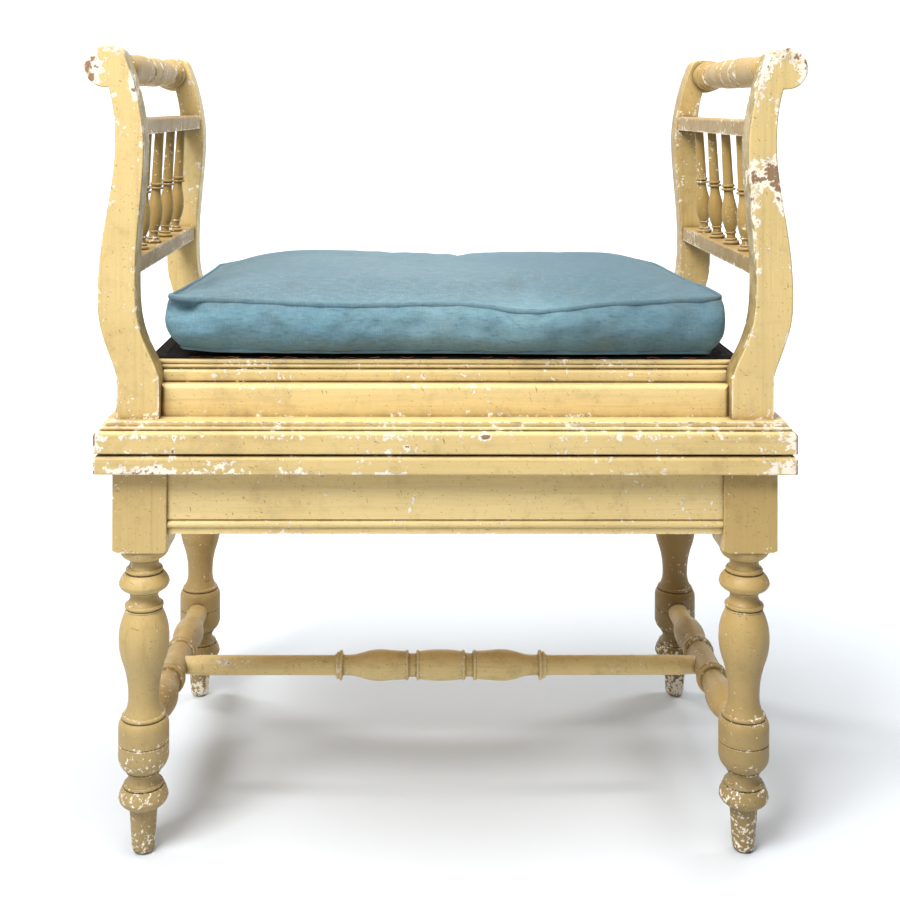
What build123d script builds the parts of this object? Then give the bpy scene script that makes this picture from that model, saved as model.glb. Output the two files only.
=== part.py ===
from build123d import *
import os

# Piano bench with a lift-up seat: four turned legs joined by an H of turned stretchers carry a
# shallow music compartment. The lid over it is hinged at the back, and holds the upholstered seat
# and two scrolled arms, each with a turned grip and a row of spindles. A loose cushion lies on top.
# X runs to the sitter's right as seen from the front, -Y is the front, Z is up, in millimetres.
# The origin is on the floor, in the middle of the bench.

# ---- Legs -----------------------------------------------------------------------------------
leg_spacing_x = 552.0  # leg axes, left to right
leg_spacing_y = 324.0  # leg axes, front to back
post_width = 49.0  # square block at the head of each leg
post_height = 74.2
post_shoulder = 4.4  # how far the turned shoulder climbs each corner of the block
post_shoulder_width = 4.0
post_edge_radius = 1.2
foot_tip_radius = 6.0
foot_tip_height = 6.0
foot_height = 35.0
foot_low_radius = 10.4
foot_high_radius = 12.7
foot_ring_radius = 14.0
foot_ring_height = 2.6
ball_radius = 22.6
ball_under_radius = 17.0  # where the ball's underside ends
ball_crown_radius = 19.0
ball_height = 17.0
ball_ring_radius = 18.2
ball_ring_height = 3.6
ankle_radius = 14.0
ankle_height = 9.0
drum_radius = 23.0
drum_under_radius = 15.4
drum_crown_radius = 20.4
drum_height = 47.6
drum_foot_height = 13.0
drum_shoulder_height = 7.6
drum_line_height = 25.6  # marking line for the stretchers, above the drum's foot
drum_line_width = 1.6
drum_line_depth = 0.9
drum_ring_radius = 15.8
drum_ring_height = 2.0
collar_radius = 19.8  # ring between drum and vase
collar_height = 4.2
vase_radius = 23.0
vase_foot_radius = 17.8
vase_neck_radius = 14.2
vase_crown_radius = 16.8
vase_height = 94.6
vase_ring_radius = 17.2
vase_ring_height = 1.6
quirk_radius = 15.6  # groove between the two rings over the vase
quirk_height = 0.5
throat_ring_radius = 17.8
throat_ring_height = 4.3
throat_radius = 12.8
throat_height = 9.1
bead_fillet_radius = 14.8
bead_fillet_height = 3.3
bead_radius = 23.1
bead_under_radius = 17.6
bead_crown_radius = 17.4
bead_height = 15.6
neck_ring_radius = 17.0
neck_ring_height = 5.0
neck_radius = 13.2
neck_height = 8.1
bowl_radius = 22.4
bowl_lip_radius = 14.4
bowl_height = 11.4

# ---- Stretchers -----------------------------------------------------------------------------
stretcher_rise = 0.9  # axes of the stretchers above the marking lines
side_rod_radius = 11.0
side_barrel_radius = 13.5
side_barrel_length = 57.0  # plain stretch that takes the cross stretcher
side_swell_radius = 14.4
side_ring_radius = 16.0
side_ring_width = 4.4
side_ring_gap = 0.8
cross_rod_radius = 9.8
cross_end_radius = 8.9
cross_end_taper = 16.0  # the rod thins over this length, down to its shoulder
cross_bulb_radius = 15.1
cross_barrel_radius = 15.2
cross_barrel_crown = 13.6  # barrel's radius at its ends
cross_barrel_length = 44.0
cross_bulb_length = 65.0
cross_waist_radius = 11.4
cross_waist_length = 8.0
cross_ring_radius = 14.8
cross_ring_width = 3.4
cross_collar_radius = 13.0
cross_collar_width = 3.0
tenon_radius = 7.0
tenon_depth = 11.0
tenon_overlap = 3.0  # how far a tenon is let back into its own rod

# ---- Aprons and music compartment -----------------------------------------------------------
apron_height = 58.4
apron_thickness = 20.0
apron_setback = 4.0  # apron face behind the post's face
apron_bead = 6.4  # bead run along the apron's lower edge
apron_foot = 6.0  # plain strip under that bead
apron_foot_setback = 1.6
apron_tenon_thickness = 8.0
apron_tenon_length = 15.0
apron_tenon_shoulder = 8.0  # above and below the tenon
floor_thickness = 6.0
floor_rise = 6.0  # compartment floor above the aprons' lower edge
floor_groove_depth = 5.0

# ---- Base frame and lid frame ---------------------------------------------------------------
frame_overhang = 14.0  # beyond the posts, at the front and the sides
frame_thickness = 16.5
frame_rail_width = 44.0
frame_edge_radius = 3.6
frame_lower_radius = 2.0
lid_gap = 2.0  # between base frame and lid, held open by leather buffers
lid_thickness = 27.3
lid_rail_width = 54.0
lid_fascia_height = 16.3
lid_edge_radius = 1.6
lid_round = 3.6  # quarter round above the fascia
lid_bead = 3.0  # small bead above that
lid_quirk = 1.1
buffer_radius = 6.0
buffer_inset = 30.0  # buffer centre from the outer edge of the frame

# ---- Seat -----------------------------------------------------------------------------------
arm_inset = 17.0  # arm faces behind the lid's edge
arm_thickness = 27.0
arm_base_width = 38.2
seat_rail_inset = 28.4  # seat rail face behind the lid's edge
seat_rail_height = 28.9
seat_rail_thickness = 24.0
seat_rail_radius = 4.0
seat_side_inset = 38.0  # reeded edge behind the lid's edge, on the sides
seat_band_height = 11.2
seat_band_projection = 5.0
reed_height = 4.5
reed_projection = 1.7
seat_frame_width = 26.0
seat_frame_ledge = 6.0  # thickness of the rebate's ledge
seat_frame_lip = 12.0  # width of the frame's top, outside the rebate
seat_board_thickness = 5.0
seat_cover_thickness = 2.0  # upholstery over the frame's top
seat_cover_setback = 2.6

# ---- Arms -----------------------------------------------------------------------------------
arm_height = 337.5
arm_knee_height = 36.0  # straight foot of the arm, up to where the curves begin
arm_belly = 17.7  # how far the belly swells beyond the arm's base, outwards
arm_belly_height = 108.5
arm_hollow = 21.8  # how far the inner edge sweeps outwards above the seat
arm_hollow_height = 127.5
arm_waist_height = 249.5
arm_waist_outer = 2.4  # outward shift of the outer edge at the waist
arm_waist_inner = 14.4  # outward shift of the inner edge at the waist
arm_knee_rise = 18.0  # height over which both edges sweep outwards above the foot
arm_knee_sweep = 5.6
arm_edge_radius = 1.6
scroll_radius = 19.0
scroll_offset = 11.5  # scroll centre outside the arm's base
head_flat = 6.0  # level stretch on top of the scroll, towards the seat
head_round_width = 11.1  # tighter round that follows it
head_round_height = 7.5
grip_radius = 15.6
grip_band_radius = 15.0
grip_band_width = 42.0
grip_quirk_radius = 13.6
grip_quirk_width = 1.6
grip_shoulder_radius = 13.4
grip_neck_radius = 11.4
grip_ring_radius = 13.4
grip_ring_width = 2.6
grip_collar_radius = 17.4
grip_collar_width = 6.0
grip_cuff_radius = 15.6
grip_tenon_radius = 9.0
grip_tenon_depth = 12.0
arm_rail_width = 23.0
arm_rail_tenon = 10.0
upper_rail_height = 15.3
upper_rail_base = 256.3  # underside above the arm's base
upper_rail_offset = 10.0  # rail centre outside the middle of the arm's base
lower_rail_height = 15.2
lower_rail_base = 128.3
lower_rail_offset = 16.3
spindle_count = 4
spindle_vase_radius = 8.0
spindle_vase_foot_radius = 4.7
spindle_vase_neck_radius = 4.6
spindle_column_low_radius = 5.3
spindle_column_high_radius = 4.6
spindle_foot_radius = 8.2
spindle_foot_height = 4.0
spindle_base_ring_radius = 6.4
spindle_base_ring_height = 2.6
spindle_waist_radius = 4.5
spindle_waist_height = 4.4
spindle_small_ring_radius = 5.9
spindle_small_ring_height = 2.2
spindle_vase_share = 0.37  # the vase's share of the spindle's length
spindle_disc_radius = 7.4
spindle_disc_height = 2.4
spindle_band_radius = 6.5
spindle_band_height = 3.6
spindle_tenon_radius = 3.4
spindle_tenon_depth = 8.0
dowel_radius = 4.0
dowel_length = 26.0
dowel_spacing = 25.0

# ---- Cushion --------------------------------------------------------------------------------
cushion_seam_height = 53.0  # upper seam above the seat
cushion_crown = 10.0  # how far the middle of the top stands above that seam
cushion_swell = 7.0  # how far the sides swell beyond the upper seam
cushion_under_swell = 10.0  # and beyond the edge that lies on the seat
cushion_swell_share = 0.45  # height of the fullest part, as a share of the seam's height
cushion_side_gap = 4.2  # cushion to the arms' inner edges
cushion_front_lap = 8.0  # how far it comes forward of the reeded edge
cushion_back_lap = 3.0
cushion_corner_radius = 24.0

# ---- Hinges ---------------------------------------------------------------------------------
hinge_spacing = 380.0
hinge_length = 50.0
hinge_leaf_width = 20.0
hinge_leaf_thickness = 1.7
hinge_barrel_radius = 3.2
hinge_pin_radius = 1.6
pin_head_height = 1.4
hinge_knuckles = 5
hinge_axis_offset = 0.4  # axis behind the back edges of lid and frame
hinge_leaf_gap = 0.4  # between the closed leaves
screw_radius = 1.6
screw_head_radius = 3.1
screw_head_height = 1.5
screw_length = 10.0

# ---- Fits -----------------------------------------------------------------------------------
joint_clearance = 0.05  # glued tenons, dowels and screws in their holes
running_clearance = 0.05  # hinge knuckle on its pin
knuckle_gap = 0.25  # between neighbouring knuckles
swing_clearance = 0.3  # round the barrel, in the edges of lid and frame
cloth_clearance = 0.3  # soft pieces to what they lie on


# ---- Drawing helpers ------------------------------------------------------------------------
class Outline:
    """A closed outline, drawn edge by edge from its first point."""

    def __init__(self, x, y):
        self.start = self.pen = Vector(x, y)
        self.edges = []

    def line(self, x, y):
        target = Vector(x, y)
        if (target - self.pen).length > 1e-6:
            self.edges.append(Edge.make_line(self.pen, target))
        self.pen = target
        return self

    def arc(self, via_x, via_y, x, y):
        target = Vector(x, y)
        self.edges.append(Edge.make_three_point_arc(self.pen, Vector(via_x, via_y), target))
        self.pen = target
        return self

    def onward(self, x, y):
        """An arc that leaves in the direction in which the last edge arrived."""
        target = Vector(x, y)
        self.edges.append(Edge.make_tangent_arc(self.pen, self.edges[-1] % 1, target))
        self.pen = target
        return self

    def curve(self, points, start_tangent, end_tangent):
        targets = [Vector(*point) for point in points]
        tangents = [Vector(*start_tangent), Vector(*end_tangent)]
        self.edges.append(Edge.make_spline([self.pen, *targets], tangents=tangents))
        self.pen = targets[-1]
        return self

    def face(self, plane):
        self.line(self.start.X, self.start.Y)
        return plane * Face(Wire(self.edges))


class Turning(Outline):
    """Half the outline of a turned piece: x is the radius, y runs along the lathe's axis."""

    def step(self, radius):
        return self.line(radius, self.pen.Y)

    def taper(self, length, radius):
        return self.line(radius, self.pen.Y + length)

    def plain(self, length):
        return self.taper(length, self.pen.X)

    def bow(self, length, radius, end_radius, share=0.5):
        """A round or hollow stretch that passes through radius at a share of its length."""
        middle = self.pen.Y + length * share
        return self.arc(radius, middle, end_radius, self.pen.Y + length)

    def ring(self, length, radius):
        """A thin half-round ring standing on the present radius."""
        inner = self.pen.X
        self.step(radius - length / 2)
        self.bow(length, radius, radius - length / 2)
        return self.step(inner)

    def swell(self, *reaches):
        """Arcs that flow into each other from a plain start, each given as (length, end radius)."""
        for length, radius in reaches:
            self.onward(radius, self.pen.Y + length)
        return self

    def solid(self):
        self.line(0, self.pen.Y)
        self.line(0, self.start.Y)
        return revolve(self.face(Plane.XZ), Axis.Z)

    def double_solid(self):
        """The piece and its mirror image about the start of the outline, as one solid."""
        half = self.solid()
        return half + mirror(half, about=Plane.XY.offset(self.start.Y))


def box(x_range, y_range, z_range):
    size = [high - low for low, high in (x_range, y_range, z_range)]
    middle = [(high + low) / 2 for low, high in (x_range, y_range, z_range)]
    return Pos(*middle) * Box(*size)


def mirrored_pair(solid):
    """A piece on the right and its mirror image on the left."""
    return {"right": solid, "left": mirror(solid, about=Plane.YZ)}


def four_corners(solid):
    """A piece in the back right corner and its three mirror images."""
    back = mirrored_pair(solid)
    front = mirrored_pair(mirror(solid, about=Plane.XZ))
    places = {}
    for side in ("left", "right"):
        places["front_" + side] = front[side]
        places["back_" + side] = back[side]
    return places


def mitred_frame(section, width, half_x, front, back):
    """Four mitred rails. section(plane) gives the rail's section, its outer face at local x = 0."""
    middle = (front + back) / 2
    depth = back - front

    def rail(length):
        plan = Polyline(
            (-length / 2, 0), (length / 2, 0), (length / 2 - width, width), (width - length / 2, width),
            close=True,
        )
        reach = extrude(make_face(plan), amount=1000)
        return extrude(section(Plane.YZ), amount=length / 2, both=True) & reach

    return {
        "front": Pos(0, front, 0) * rail(2 * half_x),
        "back": Pos(0, back, 0) * Rot(0, 0, 180) * rail(2 * half_x),
        "right": Pos(half_x, middle, 0) * Rot(0, 0, 90) * rail(depth),
        "left": Pos(-half_x, middle, 0) * Rot(0, 0, -90) * rail(depth),
    }


def four_sides(rail_along, length_x, front, length_y, half_x):
    """Four butted rails. rail_along(length) lies along X with its outer face at y = 0."""
    return {
        "front": Pos(0, front, 0) * rail_along(length_x),
        "back": Pos(0, -front, 0) * Rot(0, 0, 180) * rail_along(length_x),
        "right": Pos(half_x, 0, 0) * Rot(0, 0, 90) * rail_along(length_y),
        "left": Pos(-half_x, 0, 0) * Rot(0, 0, -90) * rail_along(length_y),
    }


def stop(solid, cutters):
    """The solid with each cutter taken from it."""
    for cutter in cutters:
        solid = solid - cutter
    return solid


# ---- Levels and places ----------------------------------------------------------------------
leg_x = leg_spacing_x / 2
leg_y = leg_spacing_y / 2
post_x = leg_x + post_width / 2  # outer faces of the posts
post_y = leg_y + post_width / 2
lid_x = post_x + frame_overhang
lid_front = -(post_y + frame_overhang)
hinge_y = -lid_front - hinge_barrel_radius  # the barrel ends level with the front's overhang
lid_back = hinge_y - hinge_axis_offset

# The leg's turnings from the floor up, so that the stack sets the levels.
ball_base = foot_tip_height + foot_height + foot_ring_height
drum_base = ball_base + ball_height + ball_ring_height + ankle_height + drum_ring_height
stretcher_z = drum_base + drum_line_height + stretcher_rise
vase_base = drum_base + drum_height + collar_height
throat_base = vase_base + vase_height + vase_ring_height + quirk_height + throat_ring_height
bead_base = throat_base + throat_height + bead_fillet_height
neck_base = bead_base + bead_height + neck_ring_height
post_base = neck_base + neck_height + bowl_height
post_top = post_base + post_height
apron_base = post_top - apron_height
frame_top = post_top + frame_thickness
lid_base = frame_top + lid_gap
lid_top = lid_base + lid_thickness
seat_rail_top = lid_top + seat_rail_height
reed_base = seat_rail_top + seat_band_height
seat_frame_top = reed_base + 2 * reed_height
seat_top = seat_frame_top + seat_cover_thickness

arm_outer = lid_x - arm_inset
arm_inner = arm_outer - arm_base_width
arm_front = lid_front + arm_inset
arm_back = arm_front + arm_thickness  # the face of a front arm that looks backwards
arm_middle_x = (arm_outer + arm_inner) / 2
arm_middle_y = (arm_front + arm_back) / 2
arm_top = lid_top + arm_height
grip_x = arm_outer + scroll_offset
grip_z = arm_top - scroll_radius
upper_rail_x = arm_middle_x + upper_rail_offset
upper_rail_z = lid_top + upper_rail_base
lower_rail_x = arm_middle_x + lower_rail_offset
lower_rail_z = lid_top + lower_rail_base
seat_frame_x = lid_x - seat_side_inset
seat_frame_front = arm_back + cloth_clearance


# ---- Legs -----------------------------------------------------------------------------------
def leg_turning():
    """The turned length of a leg, from its rounded tip to the underside of the block."""
    leg = Turning(foot_tip_radius, 0)
    leg.bow(foot_tip_height, foot_low_radius * 0.88, foot_low_radius, 0.35)
    leg.taper(foot_height, foot_high_radius)
    leg.ring(foot_ring_height, foot_ring_radius)
    leg.step(ball_under_radius)
    leg.bow(ball_height * 0.42, ball_radius - 1.5, ball_radius)
    leg.bow(ball_height * 0.58, ball_radius - 1.2, ball_crown_radius)
    leg.step(ball_crown_radius - 3)
    leg.ring(ball_ring_height, ball_ring_radius)
    leg.bow(ankle_height * 0.5, ankle_radius + 0.5, ankle_radius)
    leg.plain(ankle_height * 0.5)
    leg.ring(drum_ring_height, drum_ring_radius)
    leg.step(drum_under_radius)
    leg.bow(drum_foot_height, drum_radius - 2, drum_radius, 0.45)
    half_line = drum_line_width / 2
    leg.plain(drum_line_height - drum_foot_height - half_line)
    leg.taper(half_line, drum_radius - drum_line_depth)
    leg.taper(half_line, drum_radius)
    leg.plain(drum_height - drum_line_height - drum_shoulder_height - half_line)
    leg.swell((drum_shoulder_height, drum_crown_radius))
    leg.step(vase_foot_radius)
    leg.ring(collar_height, collar_radius)
    neck_length = vase_height * 0.17
    leg.bow(neck_length, vase_neck_radius + 1.2, vase_neck_radius, 0.35)
    leg.plain(vase_height * 0.01)
    leg.swell(
        (vase_height * 0.32, (vase_neck_radius + vase_radius) / 2 + 0.8),
        (vase_height * 0.26, vase_radius),
        (vase_height * 0.24, vase_crown_radius),
    )
    leg.step(quirk_radius)
    leg.ring(vase_ring_height, vase_ring_radius)
    leg.plain(quirk_height)
    leg.ring(throat_ring_height, throat_ring_radius)
    leg.bow(throat_height * 0.75, throat_radius + 0.7, throat_radius)
    leg.plain(throat_height * 0.25)
    leg.ring(bead_fillet_height, bead_fillet_radius)
    leg.step(bead_under_radius)
    leg.bow(bead_height * 0.4, bead_radius - 1.3, bead_radius)
    leg.bow(bead_height * 0.6, bead_radius - 1.7, bead_crown_radius)
    leg.step(bead_crown_radius - 2.6)
    leg.ring(neck_ring_height, neck_ring_radius)
    leg.bow(neck_height * 0.45, neck_radius + 0.5, neck_radius)
    leg.plain(neck_height * 0.55)
    leg.step(bowl_lip_radius)
    leg.bow(bowl_height, bowl_radius - 2.2, bowl_radius, 0.27)
    return leg.solid()


def leg_block():
    """The square block, its lower corners rounded off where the turning begins."""
    half = post_width / 2
    corner = half * 2**0.5
    block = box((-half, half), (-half, half), (post_base, post_top))
    shoulder = Turning(bowl_radius, post_base)
    shoulder.line(corner - post_shoulder_width, post_base)
    via_x = corner - post_shoulder_width * 0.25
    shoulder.arc(via_x, post_base + post_shoulder * 0.35, corner + 1, post_base + post_shoulder)
    shoulder.line(corner + 1, post_top)
    block = block & shoulder.solid()
    upright = block.edges().filter_by(Axis.Z).group_by(Edge.length)[-1]
    return fillet(upright, post_edge_radius)


def make_legs(tenons):
    """Four legs, with sockets cut for every tenon that enters them."""
    turned = leg_turning() + leg_block()
    legs = four_corners(Pos(leg_x, leg_y, 0) * turned)
    return {place: stop(leg, tenons) for place, leg in legs.items()}


# ---- Stretchers -----------------------------------------------------------------------------
def half_side_stretcher():
    """Half a side stretcher, from the middle of its barrel to the leg."""
    rod = Turning(side_barrel_radius, 0)
    rod.plain(side_barrel_length / 2)
    rod.step(side_rod_radius + 1)
    rod.ring(side_ring_width, side_ring_radius)
    rod.plain(side_ring_gap)
    rod.ring(side_ring_width, side_ring_radius)
    rod.plain(side_ring_gap)
    swell_length = 0.8 * leg_y - drum_radius - rod.pen.Y
    rod.swell((swell_length * 0.35, side_swell_radius), (swell_length * 0.65, side_rod_radius))
    shoulder = leg_y - drum_radius
    rod.plain(shoulder - rod.pen.Y + post_shoulder)
    return rod


def drum_core(sign):
    """The drum of a leg, as the surface that the stretchers' shoulders are shaped to."""
    radius = drum_radius + joint_clearance
    return Pos(leg_x, sign * leg_y, stretcher_z) * Cylinder(radius, drum_height)


def side_tenons(radius):
    """The tenons of the right side stretcher inside the drums of its two legs."""
    pins = []
    for sign in (-1, 1):
        inner = leg_y - drum_radius - joint_clearance - tenon_overlap
        outer = leg_y - drum_radius + tenon_depth + radius - tenon_radius
        pin = Cylinder(radius, outer - inner)
        pins.append(Pos(leg_x, sign * (inner + outer) / 2, stretcher_z) * Rot(90, 0, 0) * pin)
    return Compound(children=pins)


def side_stretcher():
    """The stretcher between the right front and right back legs, and its two tenons."""
    rod = Pos(leg_x, 0, stretcher_z) * Rot(90, 0, 0) * half_side_stretcher().double_solid()
    rod = rod - drum_core(-1) - drum_core(1)
    return rod + side_tenons(tenon_radius)


def cross_stretcher():
    """The stretcher between the two side stretchers, shaped to their barrels."""
    rod = Turning(cross_barrel_radius, 0)
    rod.plain(1)
    rod.swell((cross_barrel_length / 2 - 1, cross_barrel_crown))
    rod.step(cross_waist_radius)
    rod.ring(cross_ring_width, cross_ring_radius)
    rod.plain(cross_waist_length)
    rod.ring(cross_ring_width, cross_ring_radius)
    rod.step(cross_barrel_crown)
    rod.bow(cross_bulb_length * 0.32, cross_bulb_radius - 0.8, cross_bulb_radius, 0.5)
    rod.swell(
        (cross_bulb_length * 0.36, (cross_bulb_radius + cross_rod_radius) / 2),
        (cross_bulb_length * 0.32, cross_rod_radius + 0.4),
    )
    rod.ring(cross_ring_width, cross_ring_radius)
    rod.step(cross_collar_radius)
    rod.plain(cross_collar_width)
    rod.bow(3, cross_rod_radius + 0.5, cross_rod_radius)
    rod.plain(leg_x - side_barrel_radius - cross_end_taper - rod.pen.Y)
    rod.taper(cross_end_taper, cross_end_radius)
    rod.plain(side_barrel_radius)
    rod = Pos(0, 0, stretcher_z) * Rot(0, 90, 0) * rod.double_solid()
    for sign in (-1, 1):
        barrel = Cylinder(side_barrel_radius + joint_clearance, side_barrel_length)
        rod = rod - Pos(sign * leg_x, 0, stretcher_z) * Rot(90, 0, 0) * barrel
        outside = Pos(sign * (leg_x + side_barrel_radius), 0, stretcher_z)
        rod = rod - outside * Box(2 * side_barrel_radius, post_width, post_width)
    return rod + cross_tenons(tenon_radius)


def cross_tenons(radius):
    """The tenons of the cross stretcher inside the barrels of the side stretchers."""
    pins = []
    for sign in (-1, 1):
        start = leg_x - side_barrel_radius - joint_clearance - tenon_overlap
        end = leg_x - side_barrel_radius + tenon_depth + radius - tenon_radius
        place = Pos(sign * (start + end) / 2, 0, stretcher_z) * Rot(0, 90, 0)
        pins.append(place * Cylinder(radius, end - start))
    return Compound(children=pins)


# ---- Aprons and music compartment -----------------------------------------------------------
def apron_section(plane):
    """Section of an apron: a bead along the lower edge outside, a groove for the floor inside."""
    bead_low = apron_base + apron_foot
    groove_low = apron_base + floor_rise
    section = Outline(apron_foot_setback, apron_base)
    section.line(apron_foot_setback, bead_low)
    section.arc(-apron_foot_setback, bead_low + apron_bead / 2, apron_foot_setback, bead_low + apron_bead)
    section.line(0, bead_low + apron_bead + apron_foot_setback)
    section.line(0, post_top)
    section.line(apron_thickness, post_top)
    section.line(apron_thickness, groove_low + floor_thickness)
    section.line(apron_thickness - floor_groove_depth, groove_low + floor_thickness)
    section.line(apron_thickness - floor_groove_depth, groove_low)
    section.line(apron_thickness, groove_low)
    section.line(apron_thickness, apron_base)
    return section.face(plane)


def apron_tenons(length, clearance):
    """The tenons at both ends of an apron of this length, with the given clearance round them."""
    middle = apron_thickness / 2
    half = apron_tenon_thickness / 2 + clearance
    z_range = (
        apron_base + apron_tenon_shoulder - clearance,
        post_top - apron_tenon_shoulder + clearance,
    )
    reach = length / 2 + apron_tenon_length + clearance
    return box((-reach, reach), (middle - half, middle + half), z_range)


def make_aprons():
    """Four aprons with their tenons, and the same four with mortise-sized tenons only."""
    length_x = leg_spacing_x - post_width
    length_y = leg_spacing_y - post_width
    front = -post_y + apron_setback
    half_x = post_x - apron_setback

    def apron(length):
        return extrude(apron_section(Plane.YZ), amount=length / 2, both=True) + apron_tenons(length, 0)

    def mortise(length):
        return apron_tenons(length, joint_clearance)

    aprons = four_sides(apron, length_x, front, length_y, half_x)
    mortises = four_sides(mortise, length_x, front, length_y, half_x)
    return aprons, list(mortises.values())


def compartment_floor():
    """The floor board, held in the aprons' grooves and notched round the posts."""
    half_x = post_x - apron_setback - apron_thickness + floor_groove_depth - joint_clearance
    half_y = post_y - apron_setback - apron_thickness + floor_groove_depth - joint_clearance
    low = apron_base + floor_rise
    board = box((-half_x, half_x), (-half_y, half_y), (low, low + floor_thickness))
    notch = post_width / 2 + swing_clearance
    for sign_x in (-1, 1):
        for sign_y in (-1, 1):
            post = Pos(sign_x * leg_x, sign_y * leg_y, low) * Box(2 * notch, 2 * notch, 4 * floor_thickness)
            board = board - post
    return board


# ---- Base frame and lid frame ---------------------------------------------------------------
def base_frame_section(plane):
    """A flat rail with a rounded outer edge."""
    section = Outline(frame_lower_radius, post_top)
    lower = frame_lower_radius * (1 - 0.5**0.5)
    section.arc(lower, post_top + lower, 0, post_top + frame_lower_radius)
    section.line(0, frame_top - frame_edge_radius)
    upper = frame_edge_radius * (1 - 0.5**0.5)
    section.arc(upper, frame_top - upper, frame_edge_radius, frame_top)
    section.line(frame_rail_width, frame_top)
    section.line(frame_rail_width, post_top)
    return section.face(plane)


def lid_section(plane):
    """A moulded rail: fascia, quarter round, bead and fillet, stepping back towards the seat."""
    fascia_top = lid_base + lid_fascia_height
    section = Outline(lid_edge_radius, lid_base)
    lower = lid_edge_radius * (1 - 0.5**0.5)
    section.arc(lower, lid_base + lower, 0, lid_base + lid_edge_radius)
    section.line(0, fascia_top)
    shoulder = lid_round * (1 - 0.5**0.5)
    section.arc(shoulder, fascia_top + lid_round - shoulder, lid_round, fascia_top + lid_round)
    step = lid_round + lid_quirk
    section.line(step, fascia_top + lid_round)
    bead_low = fascia_top + lid_round + lid_quirk * 0.4
    section.line(step, bead_low)
    section.arc(step - lid_bead / 4, bead_low + lid_bead * 0.6, step + lid_bead / 2, bead_low + lid_bead)
    step = step + lid_bead / 2 + lid_quirk
    section.line(step, bead_low + lid_bead)
    section.line(step, lid_top)
    section.line(lid_rail_width, lid_top)
    section.line(lid_rail_width, lid_base)
    return section.face(plane)


def lid_buffers():
    """Leather discs on the base frame that the closed lid lies on."""
    x = lid_x - buffer_inset
    y = lid_front + buffer_inset
    height = lid_gap - cloth_clearance
    discs = []
    for sign in (-1, 1):
        for place in (y, 0):
            disc = Pos(sign * x, place, frame_top + height / 2) * Cylinder(buffer_radius, height)
            discs.append(disc)
    return Compound(children=discs)


# ---- Seat -----------------------------------------------------------------------------------
def seat_rail(length):
    """A seat rail, with its upper edge and both outer corners rounded."""
    rail = box((-length / 2, length / 2), (0, seat_rail_thickness), (lid_top, seat_rail_top))
    face = rail.faces().sort_by(Axis.Y)[0]
    upper = face.edges().sort_by(Axis.Z)[-1]
    ends = face.edges().filter_by(Axis.Z)
    return fillet([upper, *ends], seat_rail_radius)


def seat_band(length):
    """A round-edged strip planted on the seat frame, between the arms."""
    reach = seat_band_projection + reed_projection
    strip = box((-length / 2, length / 2), (0, reach), (seat_rail_top, reed_base))
    face = strip.faces().sort_by(Axis.Y)[0]
    return fillet(face.edges().filter_by(Axis.X), seat_band_height / 5)


def seat_frame_section(plane):
    """The seat frame's section: two reeds outside, a rebate for the seat board inside."""
    ledge = seat_rail_top + seat_frame_ledge
    section = Outline(reed_projection, seat_rail_top)
    section.line(reed_projection, reed_base)
    for reed in range(2):
        low = reed_base + reed * reed_height
        section.arc(0, low + reed_height / 2, reed_projection, low + reed_height)
    section.line(seat_frame_lip, seat_frame_top)
    section.line(seat_frame_lip, ledge)
    section.line(seat_frame_width, ledge)
    section.line(seat_frame_width, seat_rail_top)
    return section.face(plane)


def seat_board():
    """The board that carries the upholstery, lying in the seat frame's rebate."""
    half_x = seat_frame_x - seat_frame_lip - joint_clearance
    half_y = -seat_frame_front - seat_frame_lip - joint_clearance
    low = seat_rail_top + seat_frame_ledge
    return box((-half_x, half_x), (-half_y, half_y), (low, low + seat_board_thickness))


def seat_pad():
    """The stuffing in the rebate and the cover drawn over the top of the frame."""
    low = seat_rail_top + seat_frame_ledge + seat_board_thickness + cloth_clearance
    inner = seat_frame_lip + cloth_clearance
    stuffing = box(
        (inner - seat_frame_x, seat_frame_x - inner),
        (seat_frame_front + inner, -seat_frame_front - inner),
        (low, seat_top),
    )
    edge = seat_cover_setback
    cover = box(
        (edge - seat_frame_x, seat_frame_x - edge),
        (seat_frame_front + edge, -seat_frame_front - edge),
        (seat_frame_top + cloth_clearance, seat_top),
    )
    return stuffing + cover


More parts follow.
